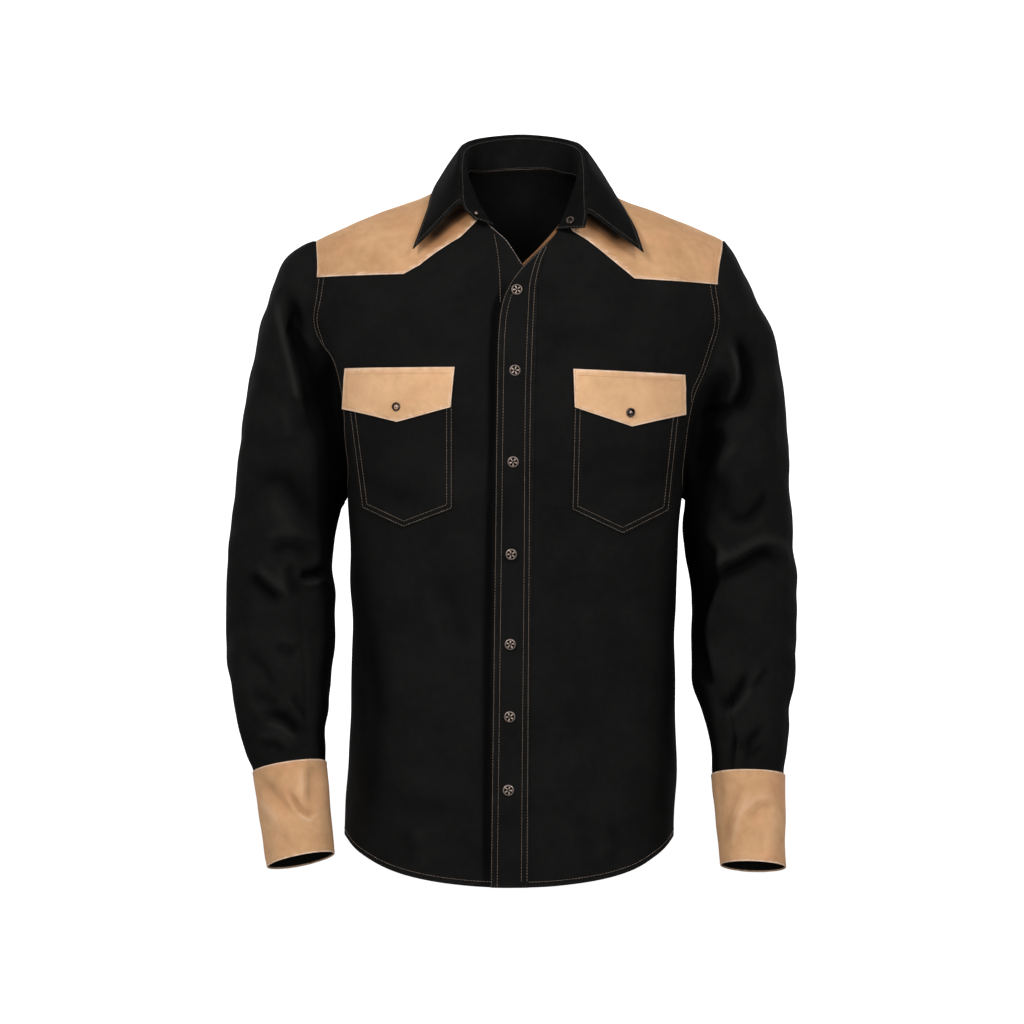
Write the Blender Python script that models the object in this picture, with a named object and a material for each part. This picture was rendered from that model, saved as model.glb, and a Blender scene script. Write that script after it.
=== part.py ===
"""Western-style flame-resistant work shirt, in the shape it has when worn, with nobody in it.

Units are metres in Blender. The tables below are in millimetres, and MM turns them into metres.
+Z is up, the front faces -Y, and +X is the wearer's left. The origin is the middle of the neck,
level with the top of the shoulders.

Every panel is a sheet: a grid of points on the outside of the cloth, with a normal at each point.
solid() gives a sheet its wall. What is sewn on a panel is cut out of that panel's own sheet and
moved out along the same normals, so the layers stay parallel, GAP apart.
"""

import math

import bmesh
import bpy
import numpy as np
from mathutils import Matrix, Vector
from mathutils.bvhtree import BVHTree

MM = 0.001

# Cloth and seams
WALL = 1.2
GAP = 0.3
LAYER = WALL + GAP

# Body form: a ring at each height. squareness is the exponent of the ring's superellipse.
CHEST = -150.0  # above this height the rings roll over the shoulder
SHOULDER_RISE = 100.0  # height of the rings that the roll uses
RIDGE_BACK = 12.0  # the top of the shoulder lies this far behind the middle
TORSO = (
    # height, half_width, centre_x, front_depth, back_depth, squareness
    (-760.0, 179.0, -12.0, 108.0, 104.0, 2.5),
    (-700.0, 179.0, -11.5, 110.0, 106.0, 2.5),
    (-600.0, 177.5, -7.5, 109.0, 103.0, 2.45),
    (-500.0, 174.5, -6.5, 108.0, 98.0, 2.4),
    (-420.0, 176.5, -6.0, 111.0, 98.0, 2.35),
    (-340.0, 181.0, -5.0, 116.0, 106.0, 2.3),
    (-280.0, 190.0, -4.0, 118.0, 112.0, 2.3),
    (-225.0, 206.0, -3.0, 116.0, 114.0, 2.3),
    (-150.0, 228.0, -2.0, 108.0, 110.0, 2.3),
    (-100.0, 236.0, 0.0, 102.0, 106.0, 2.3),
    (-50.0, 238.0, 0.0, 98.0, 104.0, 2.3),
)
RIDGE = (
    # distance from the middle, height of the shoulder there
    (0.0, 62.0),
    (30.0, 44.0),
    (50.0, 28.0),
    (75.0, 9.5),
    (94.0, -3.0),
    (158.0, -28.5),
    (200.0, -45.5),
    (222.0, -57.0),
    (245.0, -74.0),
)
HEM = (
    # place across the panel, -1 at the wearer's right side seam, and height of the hem
    (-1.0, -697.0),
    (-0.85, -703.0),
    (-0.7, -716.5),
    (-0.55, -729.5),
    (-0.4, -739.0),
    (-0.2, -747.0),
    (0.0, -750.0),
    (0.2, -748.0),
    (0.4, -741.0),
    (0.55, -732.0),
    (0.7, -719.0),
    (0.85, -706.0),
    (1.0, -698.0),
)

# Rows of the panels, counted 0 at the hem, 1 at CHEST and 2 on top of the shoulder
ARMPIT_ROW = 0.6624
SHOULDER_SEAM = 1.92  # on the front; the back panel reaches over the top to it
NECK_END = 1.37  # row where the collar stand ends on either front
FACING_END = 1.465
LOW_ROWS = (0.0, 0.035, 0.11, 0.22, 0.34, 0.46, 0.57, ARMPIT_ROW)
CHEST_ROWS = (0.70, 0.74, 0.79, 0.85, 0.92, 1.0)
EDGES_CROSS = 1.197  # row at the foot of the neck opening
FRONT_ROLL_ROWS = (
    (1.07, 1.135, 1.17, EDGES_CROSS, 1.255, 1.31)
    + (NECK_END, FACING_END, 1.58, 1.70, 1.81, SHOULDER_SEAM)
)
BACK_ROLL_ROWS = (1.14, 1.28, 1.42, 1.57, 1.72, 1.87, 2.0, 4.0 - SHOULDER_SEAM)
# Rows of the armhole at which the sleeve has no column
FRONT_SKIPS = (1.135, EDGES_CROSS, 1.31, FACING_END, 1.70)
BACK_SKIPS = (0.79, 0.92, 1.42, 1.72)
FRONT_COLUMNS = 9
LEAST_OVERLAP = 0.02  # width, in u, of the column next to a front's edge where nothing overlaps
OVERLAP_END = 50.0  # x from which the wearer's left front starts to rise over the right one
OVERLAP_RAMP = 22.0
BACK_COLUMNS = (4, 6, 4)  # wearer's right, under the neck, wearer's left

# Edges of the panels as seen from the front: height, x
EDGE_RIGHT = (
    (-760.0, 6.0),
    (-209.0, 12.0),
    (-123.0, 13.0),
    (-102.0, 11.0),
    (-86.0, 3.0),
    (-71.0, -6.0),
    (-58.0, -15.0),
    (-49.0, -25.0),
    (-41.0, -33.0),
    (-32.0, -38.0),
    (-20.0, -45.0),
    (-6.0, -51.0),
    (7.0, -57.0),
    (22.0, -60.0),
)
EDGE_LEFT = (
    (-760.0, -31.0),
    (-444.0, -27.0),
    (-209.0, -24.0),
    (-152.0, -22.0),
    (-126.0, -18.0),
    (-109.0, -11.0),
    (-99.0, -5.0),
    (-88.0, 4.0),
    (-70.0, 22.0),
    (-57.0, 35.0),
    (-42.0, 45.0),
    (-28.0, 51.0),
    (-9.0, 58.0),
    (6.0, 64.0),
    (22.0, 67.0),
)
ARMHOLE_RIGHT = (
    (-345.0, -192.0),
    (-321.0, -187.0),
    (-270.0, -188.0),
    (-226.0, -192.0),
    (-205.0, -196.0),
    (-184.0, -203.0),
    (-167.0, -215.0),
    (-154.0, -221.0),
    (-141.0, -223.0),
    (-120.0, -220.0),
    (-96.0, -218.0),
    (-60.0, -220.5),
    (-40.0, -221.5),
)
ARMHOLE_LEFT = (
    (-345.0, 182.0),
    (-321.0, 176.5),
    (-299.0, 177.0),
    (-260.0, 182.0),
    (-222.0, 190.0),
    (-198.0, 201.0),
    (-167.0, 211.0),
    (-152.0, 215.0),
    (-138.0, 216.0),
    (-107.0, 213.0),
    (-90.0, 215.0),
    (-62.0, 220.0),
    (-40.0, 222.0),
)
ARMHOLE_BACK = (
    # row, and u of the back panel's armhole edge there
    (ARMPIT_ROW, 1.0),
    (0.70, 0.87),
    (0.74, 0.80),
    (0.79, 0.775),
    (0.92, 0.77),
    (1.14, 0.775),
    (1.42, 0.77),
    (2.0, 0.758),
)
NECK_BACK = (
    # place between the two ends of the shoulder seams, and the row of the neck seam there
    (-1.0, 4.0 - SHOULDER_SEAM),
    (-0.8, 1.86),
    (-0.5, 1.70),
    (0.0, 1.637),
    (0.5, 1.727),
    (0.8, 1.86),
    (1.0, 4.0 - SHOULDER_SEAM),
)

SLEEVE_RIGHT = (
    # outer_x, outer_z, inner_x, inner_z, half_depth, centre_y, tilt (degrees), seam share
    (-236.0, -61.0, -188.0, -337.0, 58.0, 3.0, 0.0, 0.80),
    (-255.0, -76.0, -189.0, -339.0, 60.0, 3.0, 0.0, 0.60),
    (-270.0, -109.0, -190.0, -342.0, 62.0, 4.0, 0.0, 0.40),
    (-283.0, -152.0, -193.0, -347.0, 63.0, 4.0, 0.0, 0.24),
    (-294.0, -207.0, -194.5, -354.0, 64.0, 4.0, 0.0, 0.12),
    (-303.0, -265.0, -197.0, -365.0, 63.0, 4.0, 0.0, 0.04),
    (-310.0, -326.0, -200.5, -381.0, 61.0, 5.0, 0.0, 0.0),
    (-316.0, -392.0, -203.0, -410.0, 59.0, 6.0, 0.0, 0.0),
    (-319.0, -446.0, -201.0, -448.0, 57.0, 6.0, 2.0, 0.0),
    (-318.5, -500.0, -202.0, -495.0, 55.0, 2.0, 6.0, 0.0),
    (-315.0, -540.0, -204.0, -531.0, 53.0, -5.0, 9.0, 0.0),
    (-305.5, -580.0, -207.0, -566.0, 50.0, -13.0, 11.0, 0.0),
    (-295.5, -611.0, -210.0, -597.0, 46.0, -20.0, 12.0, 0.0),
)
SLEEVE_LEFT = (
    (233.0, -70.0, 179.0, -337.0, 58.0, 3.0, 0.0, 0.80),
    (247.0, -96.0, 179.5, -339.0, 60.0, 3.0, 0.0, 0.60),
    (262.0, -127.0, 179.0, -343.0, 62.0, 4.0, 0.0, 0.40),
    (276.0, -158.0, 178.0, -349.0, 63.0, 4.0, 0.0, 0.24),
    (285.0, -205.0, 177.0, -358.0, 64.0, 4.0, 0.0, 0.12),
    (291.5, -257.0, 177.5, -370.0, 63.0, 4.0, 0.0, 0.04),
    (294.0, -315.0, 180.0, -388.0, 61.0, 5.0, 0.0, 0.0),
    (298.0, -380.0, 184.5, -414.0, 59.0, 6.0, 0.0, 0.0),
    (303.0, -440.0, 187.5, -450.0, 57.0, 6.0, 2.0, 0.0),
    (301.5, -500.0, 187.0, -497.0, 55.0, 2.0, 6.0, 0.0),
    (297.5, -545.0, 189.0, -536.0, 53.0, -5.0, 9.0, 0.0),
    (292.0, -583.0, 199.0, -572.0, 50.0, -13.0, 11.0, 0.0),
    (290.0, -613.0, 206.5, -605.0, 46.0, -20.0, 12.0, 0.0),
)
SLEEVE_FOLDS = (
    # a soft trough on the front of a sleeve from (x0, z0) to (x1, z1), its half width and depth
    (-247.0, -111.0, -209.0, -230.0, 18.0, 3.0),
    (-298.0, -405.0, -238.0, -438.0, 20.0, 4.0),
    (-277.0, -565.0, -225.0, -590.0, 18.0, 3.0),
    (243.0, -190.0, 190.0, -252.0, 20.0, 3.5),
    (210.0, -445.0, 291.0, -412.0, 20.0, 4.0),
    (215.0, -574.0, 259.0, -531.0, 18.0, 3.0),
)
CUFF_RIGHT = (
    # outer_x, outer_z, inner_x, inner_z, half_depth, centre_y, tilt: its top and bottom rings
    (-289.0, -632.0, -208.5, -620.0, 39.0, -25.0, 12.5),
    (-272.0, -733.0, -199.0, -718.0, 37.0, -49.0, 13.5),
)
CUFF_LEFT = (
    (287.5, -635.0, 207.0, -634.0, 39.0, -25.0, 12.5),
    (287.0, -733.5, 216.0, -730.5, 37.0, -49.0, 13.5),
)
CUFF_ROWS = (0.0, 0.5, 1.0)
ARMHOLE_RING = (52.0, 2.0, 0.0)  # half_depth, centre_y and tilt of a ring through the armhole
SLEEVE_TUCK = (0.0, 0.10)  # the sleeve's last rings, as shares of the cuff's height
LINING_ROWS = (0.13, 0.6, 0.93, 0.985)
LINING_DEPTH = 2 * LAYER  # behind the outside of the cuff, with the sleeve's end between them
CUFF_OPENING = 2.9 * math.pi / 2  # angle round the cuff from its top, over the front, to its lap
LAP_COLUMNS = 2
CUFF_SNAP_ROWS = (0.27, 0.73)
PLACKET_RINGS = (10, 14)  # rings of the sleeve between which its placket lies
PLACKET_END = 0.85  # how far towards the last of them it reaches

COLLAR = (
    # place: distance along the neck seam from the middle of the back, wearer's right negative;
    # top: where the stand ends and the leaf folds; edge: the outer edge of the leaf
    # place, top_x, top_y, top_z, edge_x, edge_y, edge_z
    (-209.0, -48.0, -88.0, -38.0, -111.0, -90.0, -70.0),
    (-185.5, -62.0, -79.0, -22.0, -114.5, -86.0, -68.5),
    (-160.6, -64.0, -66.0, 1.5, -107.0, -65.0, -46.0),
    (-137.3, -64.5, -49.0, 20.5, -100.0, -46.0, -24.0),
    (-117.9, -63.5, -28.0, 33.5, -95.5, -20.0, -6.0),
    (-99.9, -62.5, -4.0, 42.0, -92.0, 6.0, 6.0),
    (-48.4, -46.0, 52.0, 57.0, -74.0, 72.0, 10.0),
    (0.0, 3.0, 78.0, 64.0, 3.0, 96.0, 14.0),
    (48.5, 53.0, 52.0, 56.0, 78.0, 72.0, 7.0),
    (99.8, 68.5, -4.0, 42.5, 102.0, 6.0, -1.0),
    (117.6, 70.0, -27.0, 33.5, 108.0, -20.0, -12.0),
    (136.8, 71.5, -48.0, 19.0, 117.0, -45.0, -28.0),
    (159.9, 72.0, -66.0, -6.0, 126.0, -64.0, -48.0),
    (184.6, 72.5, -81.0, -33.0, 133.0, -86.0, -73.0),
    (205.0, 70.0, -88.0, -47.0, 131.0, -90.0, -76.0),
)
STAND_ROOT = 5.0  # length over which the stand turns up from the neck seam
STAND_ROWS = (0.0, 0.15, 0.35, 0.65, 1.0)
LEAF_RISE = 7.0  # height of the roll between stand and leaf
LEAF_CROWN = (3.5, 4.0)  # how far the roll reaches above and outside the stand
LEAF_ROWS = (0.0, 0.12, 0.25, 0.42, 0.65, 1.0)
LEAF_STATIONS = (1, 16)  # the leaf is sewn on from this station of the neck seam to before this one

# Pieces on the fronts, as outlines seen from the front: x, height
YOKE_RIGHT_EDGE = (
    (-260.0, -98.0),
    (-216.0, -97.0),
    (-124.0, -96.0),
    (-107.0, -86.5),
    (-91.0, -74.0),
    (-76.0, -64.0),
    (-63.0, -56.0),
    (-50.0, -43.0),
    (-20.0, -10.0),
)
YOKE_LEFT_EDGE = (
    (20.0, 0.0),
    (57.0, -50.0),
    (72.0, -59.0),
    (86.0, -70.0),
    (123.0, -101.0),
    (213.0, -105.0),
    (260.0, -107.0),
)
BACK_YOKE_EDGE = (
    (-260.0, -118.0),
    (-120.0, -122.0),
    (0.0, -158.0),
    (120.0, -122.0),
    (260.0, -118.0),
)
PLACKET_SIDE = (
    # x, height of the placket's inner side
    (9.5, -760.0),
    (11.0, -550.0),
    (16.5, -210.0),
    (19.5, -102.0),
    (24.0, -84.0),
    (32.0, -58.0),
)
FACING_EDGE = (
    # height, x of the facing that shows inside the wearer's left neck edge
    (-86.0, 1.5),
    (-72.5, 15.4),
    (-60.0, 27.0),
    (-46.0, 38.9),
    (-33.0, 48.6),
    (-28.0, 52.0),
)
FACING_ROWS = 7
FACING_TUCK = 0.05  # how far, in u, the facing reaches under the front
FACING_LEAST = 0.004  # how far, in u, it shows at least
POCKET_RIGHT = (
    (-184.0, -226.0),
    (-183.0, -244.0),
    (-170.0, -346.0),
    (-124.0, -367.0),
    (-71.0, -347.0),
    (-71.0, -226.0),
)
POCKET_LEFT = (
    (58.0, -226.0),
    (55.0, -348.0),
    (110.0, -374.0),
    (161.0, -349.0),
    (171.0, -251.0),
    (172.0, -226.0),
)
FLAP_RIGHT = ((-187.0, -196.0), (-188.0, -239.0), (-130.0, -254.0), (-73.0, -239.0), (-69.0, -196.0))
FLAP_LEFT = ((57.0, -198.0), (58.0, -239.0), (119.0, -259.0), (176.0, -245.0), (177.0, -203.0))
FLAP_BEND = 14.0  # below its top edge a flap has risen onto the pocket
ABOVE_ALL = 100.0
FAR = 1000.0
HEM_BOTTOM = -760.0
PLACKET_OUTSIDE = -60.0  # an x beyond the front edge that the placket runs along

# Snaps: seen from the front, x and height of each; a cap's radius and height
SNAP = (6.0, 2.6)
PLACKET_SNAPS = (
    (-3.0, -114.0),
    (-5.0, -200.0),
    (-7.0, -297.0),
    (-9.0, -395.0),
    (-10.0, -491.0),
    (-10.5, -568.0),
    (-12.0, -646.0),
)
FLAP_SNAP = (5.0, 2.2)
FLAP_SNAP_RIGHT = (-130.0, -238.0)
FLAP_SNAP_LEFT = (117.0, -244.0)
NECK_SOCKET = (4.6, 1.4)
NECK_SOCKET_PLACE = (54.5, -39.0)
NECK_STUD = (2.8, 1.6)
NECK_STUD_PLACE = (-47.5, -32.0)
SNAP_SIDES = 10

# Colours (sRGB) and finishes
CLOTH_BLACK = ((0.075, 0.075, 0.078), 0.85, 0.0)
CLOTH_TAN = ((0.80, 0.62, 0.44), 0.85, 0.0)
SNAP_COPPER = ((0.30, 0.20, 0.15), 0.35, 1.0)


def between(rows, at):
    """Smooth values of a table's later columns, at values of its first column, with no overshoot."""
    table = np.array(rows, float)
    keys, values = table[:, 0], table[:, 1:]
    at = np.clip(np.asarray(at, float), keys[0], keys[-1])
    step = np.diff(keys)[:, None]
    rise = np.diff(values, axis=0) / step
    slope = np.vstack([rise[:1], (rise[1:] + rise[:-1]) / 2, rise[-1:]])
    turns = rise[1:] * rise[:-1] <= 0
    slope[1:-1][turns] = 0.0
    limit = 3 * np.minimum(np.abs(np.vstack([rise[:1], rise])), np.abs(np.vstack([rise, rise[-1:]])))
    slope = np.clip(slope, -limit, limit)
    cell = np.clip(np.searchsorted(keys, at, side="right") - 1, 0, len(keys) - 2)
    t = ((at - keys[cell]) / np.diff(keys)[cell])[..., None]
    width = step[cell]
    ends = (2 * t**3 - 3 * t**2 + 1) * values[cell] + (3 * t**2 - 2 * t**3) * values[cell + 1]
    bends = (t**3 - 2 * t**2 + t) * slope[cell] + (t**3 - t**2) * slope[cell + 1]
    result = ends + width * bends
    return result[..., 0] if values.shape[1] == 1 else np.moveaxis(result, -1, 0)


def smooth(t):
    t = np.clip(t, 0.0, 1.0)
    return t * t * (3 - 2 * t)


def unit(vectors):
    vectors = np.asarray(vectors, float)
    return vectors / np.linalg.norm(vectors, axis=-1, keepdims=True)


# ---------------------------------------------------------------- body form


def body(u, row, back):
    """Points of the body form. u runs from -1 at the wearer's right side to 1 at the left side."""
    u, row, back = np.broadcast_arrays(np.asarray(u, float), np.asarray(row, float), np.asarray(back))
    over = row > 2
    around = np.abs(u) > 1
    back = back ^ over ^ around
    row = np.where(over, 4 - row, row)
    u = np.where(around, np.sign(u) * (2 - np.abs(u)), u)
    roll = np.clip(row - 1, 0, 1) * math.pi / 2
    hem = between(HEM, u)
    height = hem + np.minimum(row, 1) * (CHEST - hem) + np.clip(row - 1, 0, 1) * SHOULDER_RISE
    half, centre, front_depth, back_depth, square = between(TORSO, height)
    across = np.sin(u * math.pi / 2)
    depth = (1 - np.abs(across) ** square) ** (1 / square)
    depth = depth * np.where(back, back_depth, -front_depth)
    x = centre + half * across
    y = depth * np.cos(roll) + RIDGE_BACK * np.sin(roll)
    z = np.where(row > 1, CHEST + (between(RIDGE, np.abs(x)) - CHEST) * np.sin(roll), height)
    return np.stack([x, y, z], axis=-1)


def body_normal(u, row, back):
    """Outward normals of the body form."""
    d = 1e-3
    along = body(u + d, row, back) - body(u - d, row, back)
    up = body(u, np.maximum(row, d) + d, back) - body(u, np.maximum(row, d) - d, back)
    outward = np.where(back, -1.0, 1.0)
    return unit(np.cross(along, up)) * outward[..., None]


def meet(row, back, edge, low, high):
    """Where a row crosses an edge: the u between low and high at which x is edge(height)."""
    low, high = np.full(np.shape(row), low, float), np.full(np.shape(row), high, float)
    for _ in range(40):
        middle = (low + high) / 2
        point = body(middle, row, back)
        short = point[..., 0] < edge(point[..., 2])
        low, high = np.where(short, middle, low), np.where(short, high, middle)
    return (low + high) / 2


# ---------------------------------------------------------------- sheets


class Sheet:
    """Points on the outside of the cloth, their normals and their faces."""

    def __init__(self, points, normals, faces):
        self.points = np.asarray(points, float)
        self.normals = np.asarray(normals, float)
        self.faces = [tuple(int(i) for i in face) for face in faces]


def grid_sheet(points, normals, closed=False):
    """A sheet from rows of points. closed joins the last column to the first."""
    rows, columns = points.shape[:2]
    index = np.arange(rows * columns).reshape(rows, columns)
    faces = []
    for i in range(rows - 1):
        for j in range(columns if closed else columns - 1):
            k = (j + 1) % columns
            a, b, c, d = index[i, j], index[i, k], index[i + 1, k], index[i + 1, j]
            faces += [(a, b, c), (a, c, d)]
    return Sheet(points.reshape(-1, 3), normals.reshape(-1, 3), faces)


def flipped(sheet):
    """The same sheet with its faces turned over, for a grid that runs the other way round."""
    return Sheet(sheet.points, sheet.normals, [face[::-1] for face in sheet.faces])


def trimmed(points, amount=GAP / 2, edges="bottom top left right"):
    """The grid with its named edges pulled in, which leaves GAP between two pieces at a seam."""
    points = points.copy()
    if "bottom" in edges:
        points[0] += amount * unit(points[1] - points[0])
    if "top" in edges:
        points[-1] += amount * unit(points[-2] - points[-1])
    if "left" in edges:
        points[:, 0] += amount * unit(points[:, 1] - points[:, 0])
    if "right" in edges:
        points[:, -1] += amount * unit(points[:, -2] - points[:, -1])
    return points


def cut_sheet(sheet, outline, extra=()):
    """The part of a sheet inside an outline of (x, z) points, seen from the front.

    extra holds pairs of outline points between which the sheet is only scored, to bend there."""
    bm = bmesh.new()
    layer = bm.verts.layers.float_vector.new("normal")
    verts = [bm.verts.new(p) for p in sheet.points]
    for vert, normal in zip(verts, sheet.normals):
        vert[layer] = normal
    for face in sheet.faces:
        bm.faces.new([verts[i] for i in face])
    sides = list(zip(outline, outline[1:] + outline[:1])) + list(extra)
    for (x0, z0), (x1, z1) in sides:
        low_x, high_x = min(x0, x1) - 0.1, max(x0, x1) + 0.1
        low_z, high_z = min(z0, z1) - 0.1, max(z0, z1) + 0.1
        near = []
        for face in bm.faces:
            xs = [v.co.x for v in face.verts]
            zs = [v.co.z for v in face.verts]
            if min(xs) < high_x and max(xs) > low_x and min(zs) < high_z and max(zs) > low_z:
                near.append(face)
        parts = set(near)
        for face in near:
            parts.update(face.verts)
            parts.update(face.edges)
        bmesh.ops.bisect_plane(
            bm,
            geom=list(parts),
            dist=0.02,
            plane_co=(x0, 0, z0),
            plane_no=(z1 - z0, 0, x0 - x1),
        )
    outside = [face for face in bm.faces if not inside(face.calc_center_median(), outline)]
    bmesh.ops.delete(bm, geom=outside, context="FACES")
    bmesh.ops.triangulate(bm, faces=bm.faces[:])
    bm.verts.index_update()
    points = [tuple(v.co) for v in bm.verts]
    normals = [tuple(v[layer]) for v in bm.verts]
    faces = [[v.index for v in face.verts] for face in bm.faces]
    bm.free()
    return Sheet(points, normals, faces)


def inside(point, outline):
    """Whether a point lies inside an outline of (x, z) points."""
    hit = False
    for (x0, z0), (x1, z1) in zip(outline, outline[1:] + outline[:1]):
        if (z0 > point.z) != (z1 > point.z):
            if point.x < x0 + (point.z - z0) * (x1 - x0) / (z1 - z0):
                hit = not hit
    return hit


def solid(name, sheet, bottom, top, finish):
    """An object whose wall runs from bottom to top, measured outwards from the sheet."""
    bottom = np.broadcast_to(bottom, len(sheet.points))[:, None]
    top = np.broadcast_to(top, len(sheet.points))[:, None]
    count = len(sheet.points)
    points = np.vstack([sheet.points + sheet.normals * top, sheet.points + sheet.normals * bottom])
    faces = [list(face) for face in sheet.faces]
    faces += [[i + count for i in reversed(face)] for face in sheet.faces]
    ways = {(a, b) for face in sheet.faces for a, b in zip(face, face[1:] + face[:1])}
    for a, b in sorted(ways):
        if (b, a) not in ways:
            faces += [[b, a, a + count], [b, a + count, b + count]]
    mesh = bpy.data.meshes.new(name)
    mesh.from_pydata((points * MM).tolist(), [], faces)
    mesh.validate()
    return add_object(name, mesh, finish)


def add_object(name, mesh, finish):
    colour, roughness, metallic = finish
    material = bpy.data.materials.new(name)
    material.use_nodes = True
    shader = material.node_tree.nodes["Principled BSDF"]
    linear = [c / 12.92 if c <= 0.04045 else ((c + 0.055) / 1.055) ** 2.4 for c in colour]
    shader.inputs["Base Color"].default_value = (*linear, 1.0)
    shader.inputs["Roughness"].default_value = roughness
    shader.inputs["Metallic"].default_value = metallic
    mesh.materials.append(material)
    obj = bpy.data.objects.new(name, mesh)
    bpy.context.scene.collection.objects.link(obj)
    return obj


# ---------------------------------------------------------------- fronts and back


def front_grid(wearers_right):
    """(points, normals) of a front panel: rows from the hem up, columns towards the wearer's left.

    Both fronts have a column on each other's edge, so where one lies on the other they stay parallel."""
    rows = np.array(LOW_ROWS + CHEST_ROWS + FRONT_ROLL_ROWS)
    edge_right = meet(rows, False, lambda z: between(EDGE_RIGHT, z), -1.0, 1.0)
    edge_left = meet(rows, False, lambda z: between(EDGE_LEFT, z), -1.0, 1.0)
    armhole = ARMHOLE_RIGHT if wearers_right else ARMHOLE_LEFT
    side = meet(rows, False, lambda z: between(armhole, z), -1.0, 1.0)
    side = np.where(rows <= ARMPIT_ROW + 1e-6, -1.0 if wearers_right else 1.0, side)
    share = np.linspace(0, 1, FRONT_COLUMNS)
    if wearers_right:
        inner = np.minimum(edge_left, edge_right - LEAST_OVERLAP)
        u = np.hstack([side[:, None] + (inner - side)[:, None] * share, edge_right[:, None]])
    else:
        inner = np.maximum(edge_right, edge_left + LEAST_OVERLAP)
        u = np.hstack([edge_left[:, None], inner[:, None] + (side - inner)[:, None] * share])
    row = np.broadcast_to(rows[:, None], u.shape)
    return body(u, row, False), body_normal(u, row, False)


def back_grid():
    """(points, normals) of the back panel, with columns from the wearer's right to the left."""
    rows = np.array(LOW_ROWS + CHEST_ROWS + BACK_ROLL_ROWS)
    left = between(ARMHOLE_BACK, rows)
    right = -left
    right[-1], neck_right, neck_left, left[-1] = (
        meet(SHOULDER_SEAM, False, lambda z: between(table, z), -1.0, 1.0)
        for table in (ARMHOLE_RIGHT, EDGE_RIGHT, EDGE_LEFT, ARMHOLE_LEFT)
    )
    outer, middle, _ = BACK_COLUMNS
    stops = [0, outer, outer + middle, 2 * outer + middle]
    column = np.arange(stops[-1] + 1)
    spread = smooth((rows - 0.9) / 0.6)[:, None]
    even = right[:, None] + (left - right)[:, None] * (column / stops[-1])
    seamed = np.array([np.interp(column, stops, [r, neck_right, neck_left, w]) for r, w in zip(right, left)])
    u = even + (seamed - even) * spread
    place = np.interp(column, stops[1:3], [-1.0, 1.0])
    top = between(NECK_BACK, place)
    rows = rows[:, None]
    row = np.where(rows > 1, 1 + (rows - 1) * (top - 1) / (3 - SHOULDER_SEAM), rows)
    return body(u, row, True), body_normal(u, row, True)


def overlap_lift(points):
    """The wearer's left front lies on the right one, so it is one layer further out near its edge."""
    return LAYER * smooth((OVERLAP_END - points[..., 0]) / OVERLAP_RAMP)


def add_panels(right, left, back):
    """The two fronts and the back; returns their sheets."""
    front_right = grid_sheet(trimmed(right[0], edges="top left"), right[1])
    front_left = grid_sheet(trimmed(left[0], edges="top right"), left[1])
    back_panel = flipped(grid_sheet(trimmed(back[0], edges="top left right"), back[1]))
    solid("front_right", front_right, -WALL, 0, CLOTH_BLACK)
    solid("front_left", front_left, -WALL, 0, CLOTH_BLACK)
    solid("back_panel", back_panel, -WALL, 0, CLOTH_BLACK)
    return front_right, front_left, back_panel


# ---------------------------------------------------------------- sleeves and cuffs


def section(row, angles, inset=0.0):
    """Points round one ring of a sleeve or cuff. The angle is 0 outside the arm and 90 degrees in front."""
    outer_x, outer_z, inner_x, inner_z, half_depth, centre_y, tilt = row[:7]
    outer, inner = np.array([outer_x, centre_y, outer_z]), np.array([inner_x, centre_y, inner_z])
    half = np.linalg.norm(outer - inner) / 2 - inset
    forward = np.array([0.0, -math.cos(math.radians(tilt)), math.sin(math.radians(tilt))])
    across = np.cos(angles)[:, None] * half * unit(outer - inner)
    return (outer + inner) / 2 + across + np.sin(angles)[:, None] * (half_depth - inset) * forward


def ring_angles(loop, row):
    """The angle of each point of the armhole, seen from the middle of a ring."""
    centre = section(row, np.array([0.0, math.pi])).mean(axis=0)
    outward = section(row, np.array([0.0]))[0] - centre
    forward = section(row, np.array([math.pi / 2]))[0] - centre
    rel = loop - centre
    angles = np.arctan2(rel @ forward / (forward @ forward), rel @ outward / (outward @ outward))
    return np.unwrap(angles)


def grid_normals(points, closed, wearers_right):
    """Outward normals of a grid of rings whose columns run over the front from the outer side."""
    along = np.gradient(points, axis=0)
    if closed:
        around = np.roll(points, -1, axis=1) - np.roll(points, 1, axis=1)
    else:
        around = np.gradient(points, axis=1)
    normals = unit(np.cross(around, along))
    return -normals if wearers_right else normals


def armhole_loop(front, back, column):
    """The armhole from the shoulder seam down the front to the armpit and up the back."""
    low = len(LOW_ROWS) - 1
    front_rows = LOW_ROWS + CHEST_ROWS + FRONT_ROLL_ROWS
    back_rows = LOW_ROWS + CHEST_ROWS + BACK_ROLL_ROWS
    down = [i for i in range(low, len(front_rows)) if front_rows[i] not in FRONT_SKIPS][::-1]
    up = [i for i in range(low + 1, len(back_rows) - 1) if back_rows[i] not in BACK_SKIPS]
    return np.vstack([front[down, column], back[up, column]])


def cuff_rings(cuff, angles, shares, inset):
    """Rings of the cuff at shares of its height; inset is a number, or one for each ring."""
    top, bottom = np.array(cuff[0]), np.array(cuff[1])
    insets = np.broadcast_to(inset, len(shares))
    return np.stack([section(top + (bottom - top) * t, angles, i) for t, i in zip(shares, insets)])


def sleeve_rings(loop, table, cuff):
    """(rings, angles) from the armhole to inside the cuff. The first keep some of the armhole's shape."""
    highest, lowest = loop[np.argmax(loop[:, 2])], loop[np.argmin(loop[:, 2])]
    armhole = (highest[0], highest[2], lowest[0], lowest[2], *ARMHOLE_RING)
    angles = ring_angles(loop, armhole)
    shape = loop - section(armhole, angles)
    rings = [loop] + [section(row, angles) + shape * row[7] for row in table]
    return np.stack(rings + list(cuff_rings(cuff, angles, SLEEVE_TUCK, LAYER))), angles


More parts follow.
